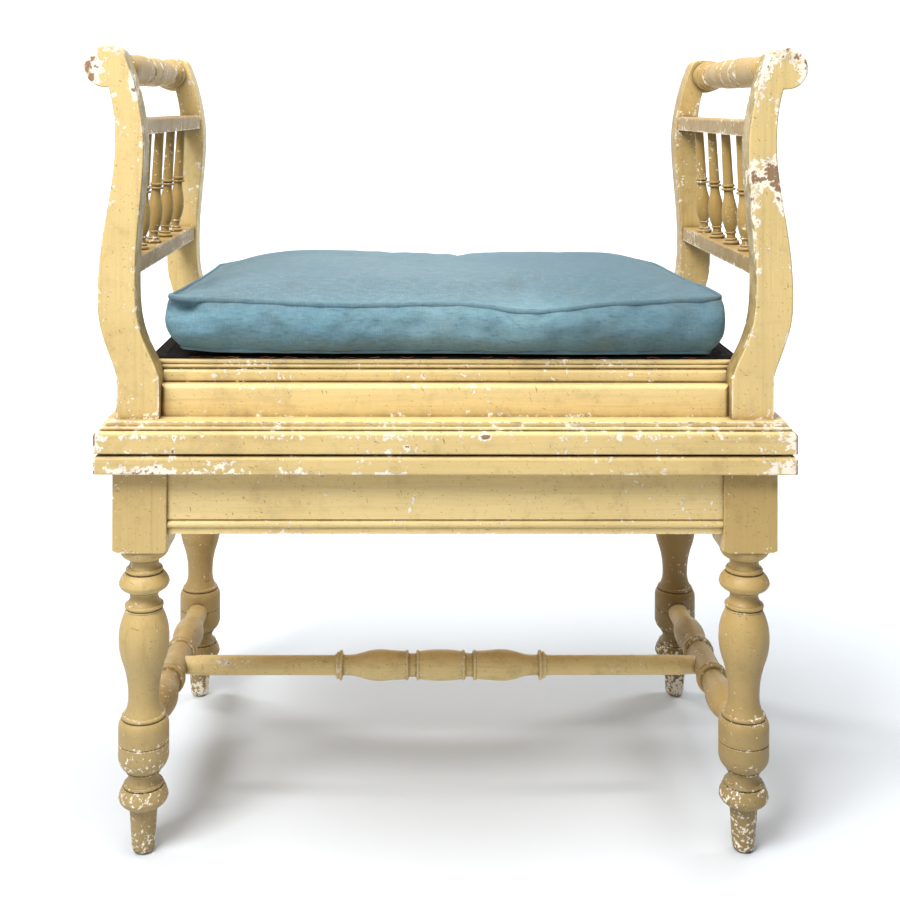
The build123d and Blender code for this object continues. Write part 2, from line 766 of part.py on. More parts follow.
# ---- Arms -----------------------------------------------------------------------------------
def arm_board():
    """The board of the front right arm, before its sockets are cut."""
    knee = lid_top + arm_knee_height
    sweep_top = knee + 2 * arm_knee_rise
    belly = (arm_outer + arm_belly, lid_top + arm_belly_height)
    waist_outer = (arm_outer + arm_waist_outer, lid_top + arm_waist_height)
    waist_inner = (arm_inner + arm_waist_inner, lid_top + arm_waist_height)
    hollow = (arm_inner + arm_hollow, lid_top + arm_hollow_height)
    throat = (grip_x - 3, grip_z - (scroll_radius**2 - 9) ** 0.5)
    outer_knee = (arm_outer + arm_knee_sweep, knee + arm_knee_rise)
    outer_sweep = (arm_outer + 0.68 * arm_belly, sweep_top)
    inner_knee = (arm_inner + arm_knee_sweep, knee + 0.9 * arm_knee_rise)
    inner_sweep = (arm_inner + 0.67 * arm_hollow, sweep_top)
    board = Outline(arm_inner, lid_top)
    board.line(arm_outer, lid_top)
    board.line(arm_outer, knee)
    board.curve([outer_knee, outer_sweep, belly], (0.2, 1), (0, 1))
    board.curve([waist_outer, throat], (0, 1), (0.3, 1))
    board.arc(grip_x + scroll_radius, grip_z, grip_x, arm_top)
    board.line(grip_x - head_flat, arm_top)
    board.onward(grip_x - head_flat - head_round_width, arm_top - head_round_height)
    board.onward(*waist_inner)
    board.curve([hollow], (0, -1), (0, -1))
    board.curve([inner_sweep, inner_knee, (arm_inner, knee)], (0, -1), (-0.2, -1))
    profile = board.face(Plane.XZ)
    solid = Pos(0, arm_middle_y, 0) * extrude(profile, amount=arm_thickness / 2, both=True)
    rims = [edge for edge in solid.edges() - solid.edges().filter_by(Axis.Y)]
    rims = [edge for edge in rims if edge.center().Z > knee - arm_knee_height / 3]
    return fillet(rims, arm_edge_radius)


def arm_rail(half_height, edge):
    """A rail between two arms: along Y, centred on its own axis, with its upper edges beaded."""
    half_width = arm_rail_width / 2
    half_length = -arm_back
    rail = box((-half_width, half_width), (-half_length, half_length), (-half_height, half_height))
    upper = rail.edges().filter_by(Axis.Y).sort_by(Axis.Z)[-2:]
    return fillet(upper, edge)


def arm_rail_tenons(half_height, clearance):
    """The tenons of such a rail, in the arms."""
    half_width = arm_rail_width / 4 + clearance
    reach = arm_rail_tenon - arm_back + clearance
    shoulder = half_height * 0.6 + clearance
    return box((-half_width, half_width), (-reach, reach), (-shoulder, shoulder))


def spindle_places():
    """The spindles' places along Y, with equal gaps between the arms."""
    pitch = -2 * arm_back / (spindle_count + 1)
    return [arm_back + pitch * (number + 1) for number in range(spindle_count)]


def spindle_axis(y):
    """The lower and upper ends of the right-hand spindle at this y."""
    low = Vector(lower_rail_x, y, lower_rail_z + lower_rail_height)
    high = Vector(upper_rail_x, y, upper_rail_z)
    return low, high


def spindle_turning(length):
    """A baluster spindle of this length between its rails, standing on z = 0."""
    extra = 1.0  # trimmed to the rails afterwards
    rod = Turning(spindle_foot_radius - 1, -extra)
    rod.plain(extra)
    rod.bow(spindle_foot_height, spindle_foot_radius, spindle_foot_radius - 1.2)
    rod.step(spindle_waist_radius)
    rod.ring(spindle_base_ring_height, spindle_base_ring_radius)
    rod.plain(spindle_waist_height)
    rod.ring(spindle_small_ring_height, spindle_small_ring_radius)
    rod.step(spindle_vase_foot_radius)
    vase_length = length * spindle_vase_share
    rod.bow(vase_length * 0.38, spindle_vase_radius - 1, spindle_vase_radius, 0.45)
    rod.swell(
        (vase_length * 0.34, (spindle_vase_radius + spindle_vase_neck_radius) / 2),
        (vase_length * 0.28, spindle_vase_neck_radius),
    )
    rod.ring(spindle_disc_height, spindle_disc_radius)
    rod.plain(spindle_disc_height / 4)
    rod.ring(spindle_band_height, spindle_band_radius)
    rod.step(spindle_column_low_radius)
    rod.taper(length + extra - rod.pen.Y, spindle_column_high_radius)
    return rod.solid()


def spindle(y):
    """One spindle on the right, leaning with the arm, its shoulders trimmed to the rails."""
    low, high = spindle_axis(y)
    lean = Plane(origin=low, z_dir=high - low, x_dir=(0, 1, 0))
    body = lean * spindle_turning((high - low).length)
    span = box(
        (low.X - post_width, low.X + post_width), (y - post_width, y + post_width), (low.Z, high.Z)
    )
    return (body & span) + spindle_tenons(y, 0)


def spindle_tenons(y, clearance):
    """A rod through the spindle's axis that ends inside both rails."""
    low, high = spindle_axis(y)
    length = (high - low).length + 2 * spindle_tenon_depth + 2 * clearance
    middle = Plane(origin=(low + high) / 2, z_dir=high - low, x_dir=(0, 1, 0))
    return middle * Cylinder(spindle_tenon_radius + clearance, length)


def grip_half():
    """Half of the turned grip from its middle to the arm's face, with its tenon."""
    reach = -arm_back
    rod = Turning(grip_band_radius, 0)
    rod.plain(grip_band_width / 2 - 2 * grip_ring_width)
    for _ in range(2):
        rod.ring(grip_ring_width, grip_band_radius + 0.7)
    rod.step(grip_quirk_radius)
    rod.plain(grip_quirk_width)
    rod.step(grip_radius - 1)
    rod.bow(reach * 0.2, grip_radius, grip_radius - 0.4, 0.45)
    rod.swell((reach * 0.2, grip_radius - 1.1), (reach * 0.12, grip_shoulder_radius))
    rod.bow(reach * 0.03, grip_neck_radius + 0.5, grip_neck_radius)
    rod.plain(reach * 0.025)
    rod.ring(grip_ring_width, grip_ring_radius)
    rod.bow(reach * 0.03, grip_neck_radius + 0.6, grip_ring_radius + 0.6)
    rod.step(grip_cuff_radius - 2)
    rod.bow(reach * 0.06, grip_cuff_radius, grip_cuff_radius - 1.2)
    rod.step(grip_collar_radius - grip_collar_width / 2)
    rod.ring(grip_collar_width, grip_collar_radius)
    rod.step(grip_cuff_radius - 2)
    rod.bow(reach - rod.pen.Y, grip_cuff_radius, grip_cuff_radius - 1)
    rod.step(grip_tenon_radius)
    rod.plain(grip_tenon_depth)
    return rod


def grip():
    rod = Rot(90, 0, 0) * grip_half().double_solid()
    return Pos(grip_x, 0, grip_z) * rod


def dowel_places():
    return [arm_middle_x - dowel_spacing / 2, arm_middle_x + dowel_spacing / 2]


def dowels(clearance):
    """The dowels between the right back arm and the lid, as one group."""
    pins = []
    for x in dowel_places():
        pin = Cylinder(dowel_radius + clearance, dowel_length + 2 * clearance)
        pins.append(Pos(x, -arm_middle_y, lid_top) * pin)
    return pins


# ---- Cushion --------------------------------------------------------------------------------
def cushion_section(low_side, high_side, plane):
    """The cushion across one axis: flat below, swollen sides, a seam above each and a crown."""
    base = seat_top + cloth_clearance
    seam = base + cushion_seam_height
    fullest = base + cushion_seam_height * cushion_swell_share
    middle = (low_side + high_side) / 2
    section = Outline(low_side + cushion_under_swell, base)
    section.line(high_side - cushion_under_swell, base)
    section.arc(high_side, fullest, high_side - cushion_swell, seam)
    section.arc(middle, seam + cushion_crown, low_side + cushion_swell, seam)
    section.arc(low_side, fullest, low_side + cushion_under_swell, base)
    return section.face(plane)


def seat_cushion():
    """A box cushion: its section across the bench and its section along it, run together."""
    half_x = arm_inner - cushion_side_gap
    front = seat_frame_front - cushion_front_lap
    back = -seat_frame_front + cushion_back_lap
    along = extrude(cushion_section(-half_x, half_x, Plane.XZ), amount=-front + back, both=True)
    across = extrude(cushion_section(front, back, Plane.YZ), amount=2 * half_x, both=True)
    plan = box((-half_x, half_x), (front, back), (seat_top, arm_top))
    plan = fillet(plan.edges().filter_by(Axis.Z), cushion_corner_radius)
    return along & across & plan


# ---- Hinges ---------------------------------------------------------------------------------
hinge_z = frame_top + lid_gap / 2
hinge_places = [-hinge_spacing / 2, hinge_spacing / 2]


def knuckle_range(number):
    """The stretch of one knuckle along X, measured from the hinge's middle."""
    pitch = hinge_length / hinge_knuckles
    low = -hinge_length / 2 + number * pitch
    return low + knuckle_gap / 2, low + pitch - knuckle_gap / 2


def leaf_z(upper):
    """The lower and upper faces of a leaf, for the lid's leaf or the frame's."""
    face = hinge_z + (hinge_leaf_gap / 2 if upper else -hinge_leaf_gap / 2)
    other = face + (hinge_leaf_thickness if upper else -hinge_leaf_thickness)
    return tuple(sorted((face, other)))


def hinge_leaf(x, upper):
    """One leaf with its knuckles, cut clear of the other leaf's knuckles."""
    own = 1 if upper else 0
    barrel_reach = hinge_barrel_radius + swing_clearance
    half = hinge_length / 2 - knuckle_gap / 2
    leaf = box((x - half, x + half), (hinge_y - hinge_leaf_width, hinge_y), leaf_z(upper))
    along_x = Pos(x, hinge_y, hinge_z) * Rot(0, 90, 0)
    for number in range(hinge_knuckles):
        low, high = knuckle_range(number)
        place = along_x * Pos(0, 0, (low + high) / 2)
        if number % 2 == own:
            leaf = leaf + place * Cylinder(hinge_barrel_radius, high - low)
        else:
            gap = high - low + 2 * knuckle_gap
            leaf = leaf - place * Cylinder(barrel_reach, gap)
    leaf = leaf - along_x * Cylinder(hinge_pin_radius + running_clearance, 2 * hinge_length)
    return stop(leaf, leaf_screws(x, upper, joint_clearance))


def screw(clearance):
    """A countersunk screw, head up, its head's face at z = 0."""
    shank = screw_radius + clearance
    head = screw_head_radius + clearance
    body = Turning(0.2, -screw_length - clearance)
    body.taper(3, shank)
    body.taper(screw_length - 3 - screw_head_height, shank)
    body.taper(screw_head_height + clearance, head)
    return body.solid()


def leaf_screws(x, upper, clearance):
    """Three screws through one leaf, in a triangle."""
    row = hinge_y - hinge_leaf_width
    spots = [(-16, 9), (0, 5), (16, 9)]
    low, high = leaf_z(upper)
    bodies = []
    for across, along in spots:
        place = Pos(x + across, row + along, low if upper else high)
        turn = Rot(180, 0, 0) if upper else Rot(0, 0, 0)
        bodies.append(place * turn * screw(clearance))
    return bodies


def hinge_seats(x, upper):
    """What a hinge takes out of the lid's or the frame's back rail."""
    half = hinge_length / 2 + swing_clearance
    low, high = leaf_z(upper)
    z_range = (low - lid_gap, high) if upper else (low, high + lid_gap)
    leaf = box((x - half, x + half), (hinge_y - hinge_leaf_width, hinge_y), z_range)
    barrel = Cylinder(hinge_barrel_radius + swing_clearance, 2 * (half + pin_head_height))
    barrel = Pos(x, hinge_y, hinge_z) * Rot(0, 90, 0) * barrel
    return [leaf, barrel, *leaf_screws(x, upper, joint_clearance)]


def hinge_pin(x):
    """A pin with a small domed head at each end."""
    half = hinge_length / 2
    pin = Turning(hinge_pin_radius, 0)
    pin.plain(half + knuckle_gap)
    pin.step(hinge_barrel_radius - 0.8)
    pin.bow(pin_head_height, hinge_barrel_radius - 1.4, 0.6)
    return Pos(x, hinge_y, hinge_z) * Rot(0, 90, 0) * pin.double_solid()


# ---- Assembly -------------------------------------------------------------------------------
def build():
    nodes = {}
    aprons, apron_mortises = make_aprons()
    right_side = side_stretcher()
    side_sockets = mirrored_pair(side_tenons(tenon_radius + joint_clearance))
    legs = make_legs([*apron_mortises, *side_sockets.values()])
    for place, leg in legs.items():
        nodes["leg_" + place] = leg
    for side, apron in aprons.items():
        nodes["apron_" + side] = apron
    nodes["compartment_floor"] = compartment_floor()

    cross_sockets = cross_tenons(tenon_radius + joint_clearance)
    for side, rod in mirrored_pair(right_side).items():
        nodes["side_stretcher_" + side] = rod - cross_sockets
    nodes["cross_stretcher"] = cross_stretcher()

    base_frame = mitred_frame(base_frame_section, frame_rail_width, lid_x, lid_front, lid_back)
    lid_frame = mitred_frame(lid_section, lid_rail_width, lid_x, lid_front, lid_back)
    for x in hinge_places:
        base_frame["back"] = stop(base_frame["back"], hinge_seats(x, upper=False))
        lid_frame["back"] = stop(lid_frame["back"], hinge_seats(x, upper=True))
    for side in ("front", "back", "left", "right"):
        nodes["base_frame_" + side] = base_frame[side]
        nodes["lid_frame_" + side] = lid_frame[side]
    nodes["lid_buffers"] = lid_buffers()

    seat_rails = four_sides(
        seat_rail, 2 * arm_inner, lid_front + seat_rail_inset, -2 * arm_back, lid_x - seat_rail_inset
    )
    bands = four_sides(
        seat_band,
        2 * arm_inner,
        seat_frame_front - seat_band_projection,
        -2 * arm_back,
        seat_frame_x + seat_band_projection,
    )
    seat_frame = mitred_frame(
        seat_frame_section, seat_frame_width, seat_frame_x, seat_frame_front, -seat_frame_front
    )
    for side in ("front", "back", "left", "right"):
        nodes["seat_rail_" + side] = seat_rails[side]
        nodes["seat_band_" + side] = bands[side]
        nodes["seat_frame_" + side] = seat_frame[side]
    nodes["seat_board"] = seat_board()
    nodes["seat_pad"] = seat_pad()

    right_grip = grip()
    grip_sockets = Rot(90, 0, 0) * Cylinder(
        grip_tenon_radius + joint_clearance, 2 * (grip_tenon_depth - arm_back + joint_clearance)
    )
    upper_half = upper_rail_height / 2
    lower_half = lower_rail_height / 2
    upper_place = Pos(upper_rail_x, 0, upper_rail_z + upper_half)
    lower_place = Pos(lower_rail_x, 0, lower_rail_z + lower_half)
    arm_cutters = [
        Pos(grip_x, 0, grip_z) * grip_sockets,
        upper_place * arm_rail_tenons(upper_half, joint_clearance),
        lower_place * arm_rail_tenons(lower_half, joint_clearance),
    ]
    dowel_cutters = dowels(joint_clearance)
    back_right_arm = stop(mirror(arm_board(), about=Plane.XZ), [*arm_cutters, *dowel_cutters])
    for place, arm in four_corners(back_right_arm).items():
        nodes["arm_" + place] = arm
    all_dowel_cutters = four_corners(Compound(children=dowel_cutters))
    for side in ("front", "back", "left", "right"):
        nodes["lid_frame_" + side] = stop(nodes["lid_frame_" + side], all_dowel_cutters.values())
    dowel_group = four_corners(Compound(children=dowels(0)))
    nodes["arm_dowels"] = Compound(children=[s for g in dowel_group.values() for s in g.solids()])

    upper = arm_rail(upper_half, 3.0) + arm_rail_tenons(upper_half, 0)
    lower = arm_rail(lower_half, 1.5) + arm_rail_tenons(lower_half, 0)
    upper = upper_place * upper
    lower = lower_place * lower
    for y in spindle_places():
        socket = spindle_tenons(y, joint_clearance)
        upper = upper - socket
        lower = lower - socket
    for side in ("left", "right"):
        nodes["grip_" + side] = mirrored_pair(right_grip)[side]
        nodes["arm_upper_rail_" + side] = mirrored_pair(upper)[side]
        nodes["arm_lower_rail_" + side] = mirrored_pair(lower)[side]
    for number, y in enumerate(spindle_places(), start=1):
        for side, rod in mirrored_pair(spindle(y)).items():
            nodes[f"spindle_{side}_{number}"] = rod

    nodes["seat_cushion"] = seat_cushion()

    for name, upper in (("base", False), ("lid", True)):
        leaves = [hinge_leaf(x, upper) for x in hinge_places]
        screws = [body for x in hinge_places for body in leaf_screws(x, upper, 0)]
        nodes["hinge_leaves_" + name] = Compound(children=leaves)
        nodes["hinge_screws_" + name] = Compound(children=screws)
    nodes["hinge_pins"] = Compound(children=[hinge_pin(x) for x in hinge_places])
    return nodes


os.makedirs("parts", exist_ok=True)
all_nodes = build()
for node_name, shape in all_nodes.items():
    export_step(shape, f"parts/{node_name}.step")
print(len(all_nodes), "nodes; seat", round(seat_top, 1), "high, overall", round(arm_top, 1))
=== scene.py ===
# %% [markdown]
# # A painted piano bench
#
# The bench is an old wooden piece under one coat of cream oil paint. Its solids come from
# the CAD model, already in place and in metres, so this lesson is about finishes: chipped paint,
# bare wood, dark upholstery, a loose cotton cushion, and a pale paper sweep.

import math

import bmesh
import bpy
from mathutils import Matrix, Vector, noise


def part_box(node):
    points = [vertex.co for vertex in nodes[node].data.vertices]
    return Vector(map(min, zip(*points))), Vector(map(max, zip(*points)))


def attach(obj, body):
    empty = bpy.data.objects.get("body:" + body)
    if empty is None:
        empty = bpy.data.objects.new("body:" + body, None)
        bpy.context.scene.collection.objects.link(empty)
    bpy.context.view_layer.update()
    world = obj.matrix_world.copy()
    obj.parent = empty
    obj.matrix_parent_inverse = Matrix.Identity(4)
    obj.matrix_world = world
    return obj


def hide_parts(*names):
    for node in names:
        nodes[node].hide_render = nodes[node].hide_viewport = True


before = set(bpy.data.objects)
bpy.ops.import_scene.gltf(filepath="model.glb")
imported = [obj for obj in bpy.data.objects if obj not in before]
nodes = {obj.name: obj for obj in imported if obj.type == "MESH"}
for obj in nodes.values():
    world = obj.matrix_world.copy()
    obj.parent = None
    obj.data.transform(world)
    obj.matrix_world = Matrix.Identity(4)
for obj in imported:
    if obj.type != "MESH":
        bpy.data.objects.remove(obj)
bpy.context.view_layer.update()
MM = 0.001


# %% [markdown]
# ## Two small helpers
#
# A finish is a small network of shader nodes. `add` makes one node, sets its options and links or
# fills its inputs, which keeps each network readable as a list of steps. Inputs go in by name, or
# in the order in which the node shows them. Paint shops give colours as sRGB hex values, and
# Blender works in linear light, so `paint_chip` turns one into the other.

# %% Helpers for colours and shader nodes
def paint_chip(code):
    """An sRGB hex colour as linear red, green, blue and alpha."""
    parts = [int(code[place : place + 2], 16) / 255 for place in (1, 3, 5)]
    linear = [c / 12.92 if c <= 0.04045 else ((c + 0.055) / 1.055) ** 2.4 for c in parts]
    return (*linear, 1.0)


def add(tree, kind, inputs=(), **settings):
    """One shader node with its settings; a node given as an input is linked by its first output."""
    made = tree.nodes.new("ShaderNode" + kind)
    for name, value in settings.items():
        setattr(made, name, value)
    shown = [socket for socket in made.inputs if socket.enabled]
    for key, value in inputs.items() if isinstance(inputs, dict) else enumerate(inputs):
        socket = made.inputs[key] if isinstance(key, str) else shown[key]
        if isinstance(value, bpy.types.Node):
            value = next(out for out in value.outputs if out.enabled)
        if isinstance(value, bpy.types.NodeSocket):
            tree.links.new(value, socket)
        else:
            socket.default_value = value
    return made


def new_material(name):
    """An empty material, its node tree and its output node."""
    material = bpy.data.materials.new(name)
    material.use_nodes = True
    tree = material.node_tree
    tree.nodes.clear()
    return material, tree, tree.nodes.new("ShaderNodeOutputMaterial")


CREAM = "#E4C98A"
# Settings that come up again and again.
SOFTLY = {"interpolation_type": "SMOOTHSTEP"}
TIMES = {"operation": "MULTIPLY"}
PLUS = {"operation": "ADD"}
LARGER = {"operation": "MAXIMUM"}
COLOURS = {"data_type": "RGBA"}
print("helpers ready, cream paint is", [round(c, 3) for c in paint_chip(CREAM)[:3]])


# %% [markdown]
# ## Old oil paint on wood
#
# The bench was brushed with cream oil paint over a white primer. Oil paint yellows and goes hard,
# then chips wherever wood is knocked: first along sharp edges, then as flecks on flat faces. White
# primer shows in a chip, and brown wood where even the primer is gone. Grime collects in quirks
# and turned grooves, where a cloth can't reach, and a grey film stays where hands have been. Under
# overhangs and towards the floor the paint is also painted darker: painted shade, with some dirt.
#
# All of it is placed by the shape itself, so it needs no image. A bevel node bends the normal near
# an edge, and comparing it with the true normal finds the arris. Ambient occlusion looks outwards
# to find hollows, once close by for quirks and once further for overhangs, and inwards to find the
# band of wood just beside an edge. Noise then breaks all of them up, so no edge wears evenly.

# %% Sizes of the marks in the paint
OIL_PAINT_IOR = 1.48
ARRIS_WIDTH = 3.6 * MM
EDGE_BAND = 9 * MM
QUIRK_WIDTH = 5.5 * MM
OVERHANG_WIDTH = 26 * MM
FLECK_SIZE = 3.2 * MM
BRUSH_MARK = (1.6 * MM, 70 * MM)
SCRATCH = (1.6 * MM, 42 * MM)
SPECK_SIZE = 2.2 * MM
CHIP_DEPTH = 0.35 * MM
CHIP_LINE = 0.67


print("chips of 4 to 8 mm, up to", CHIP_DEPTH / MM, "mm deep")

# %% [markdown]
# The arris is where the bevelled normal and the true one disagree. Hollows are dark in outward
# occlusion, and the band beside an edge is dark in inward occlusion. An arris deep in a hollow is
# out of reach of knocks, so it is held back. Only the shape is asked, so the marks follow it.


# %% Edges and hollows
def edges_and_hollows(tree):
    """How much each point is an arris, a band beside an edge, a quirk, and under an overhang."""
    true_normal = add(tree, "NewGeometry").outputs["Normal"]
    soft_normal = add(tree, "Bevel", {"Radius": ARRIS_WIDTH}, samples=10)
    agreement = add(tree, "VectorMath", [true_normal, soft_normal], operation="DOT_PRODUCT")
    arris = add(tree, "MapRange", [agreement, 0.993, 0.86, 0, 1], **SOFTLY)
    inward = add(tree, "AmbientOcclusion", {"Distance": EDGE_BAND}, samples=8, inside=True, only_local=True)
    band = add(tree, "MapRange", [inward.outputs["AO"], 0.97, 0.7, 0, 1], **SOFTLY)
    close = add(tree, "AmbientOcclusion", {"Distance": QUIRK_WIDTH}, samples=6).outputs["AO"]
    quirk = add(tree, "MapRange", [close, 0.84, 0.5, 0, 1], **SOFTLY)
    far = add(tree, "AmbientOcclusion", {"Distance": OVERHANG_WIDTH}, samples=6).outputs["AO"]
    overhang = add(tree, "MapRange", [far, 0.8, 0.4, 0, 1], **SOFTLY)
    exposed = add(tree, "MapRange", [close, 0.5, 0.85, 0, 1], **SOFTLY)
    arris = add(tree, "Math", [arris, exposed], **TIMES)
    return arris, band, quirk, overhang


# %% [markdown]
# Each point has a risk of being chipped: noise, plus more along edges and in worn places. Where the
# risk passes one line the paint is off, which gives chips with crisp outlines; further past it the
# primer is gone too and wood shows. A worn place is an ellipsoid with a centre, three radii and an
# amount, for wear that has a cause of its own, such as a hand on a scroll. A negative amount spares
# an island of paint.


# %% Chips
def distance_from(tree, place, centre, radii):
    """Distance from the centre of an ellipsoid, 1 at its surface."""
    local = add(
        tree, "Mapping", {"Vector": place, "Location": centre, "Scale": radii}, vector_type="TEXTURE"
    )
    return add(tree, "VectorMath", [local], operation="LENGTH")


def chips(tree, place, chip_size, wear, arris, band, lift, worn_places):
    """The risk of a chip, and where the paint is off."""
    size = 1 / (chip_size * MM)
    flakes = add(tree, "TexNoise", {"Vector": place, "Scale": size, "Detail": 4, "Roughness": 0.65})
    risk = add(tree, "Math", [flakes, add(tree, "Math", [arris, 0.03 + 0.25 * wear], **TIMES)], **PLUS)
    risk = add(tree, "Math", [risk, add(tree, "Math", [band, 0.13 * wear], **TIMES)], **PLUS)
    risk = add(tree, "Math", [risk, lift], **PLUS)
    for centre, radii, amount in worn_places:
        away = distance_from(tree, place, centre, radii)
        rub = add(tree, "MapRange", [away, 1.15, 0.2, 0, amount], **SOFTLY)
        risk = add(tree, "Math", [risk, rub], **PLUS)
    chip = add(tree, "MapRange", [risk, CHIP_LINE, CHIP_LINE + 0.012, 0, 1], **SOFTLY)
    flecks = add(tree, "TexNoise", {"Vector": place, "Scale": 1 / FLECK_SIZE, "Detail": 3, "Roughness": 0.55})
    fleck = add(tree, "Math", [flecks, add(tree, "Math", [lift, 0.5], **TIMES)], **PLUS)
    fleck = add(tree, "MapRange", [fleck, 0.735 - 0.04 * wear, 0.75 - 0.04 * wear, 0, 1], **SOFTLY)
    return risk, add(tree, "Math", [chip, fleck], **LARGER)


# %% [markdown]
# Fine scratches are noise stretched into hairs in three directions, cut off so high that only their
# crests are left. Specks of dirt are the same, unstretched.


# %% Scratches and specks
def scratches(tree, place, lift):
    """Dark hairlines and specks."""
    hairs = None
    for turn in (0.35, 1.2, 2.3):
        turned = add(tree, "Mapping", {"Vector": place, "Rotation": (turn * 0.7, turn, turn * 1.3)})
        drawn = add(
            tree, "Mapping", {"Vector": turned, "Scale": (1 / SCRATCH[0], 1 / SCRATCH[0], 1 / SCRATCH[1])}
        )
        line = add(tree, "TexNoise", {"Vector": drawn, "Scale": 1, "Detail": 2, "Roughness": 0.5})
        line = add(tree, "MapRange", [line, 0.7, 0.73, 0, 1], **SOFTLY)
        hairs = line if hairs is None else add(tree, "Math", [hairs, line], **LARGER)
    specks = add(tree, "TexNoise", {"Vector": place, "Scale": 1 / SPECK_SIZE, "Detail": 2, "Roughness": 0.5})
    specks = add(tree, "MapRange", [add(tree, "Math", [specks, lift], **PLUS), 0.77, 0.79, 0, 1], **SOFTLY)
    return add(tree, "Math", [hairs, specks], **LARGER)
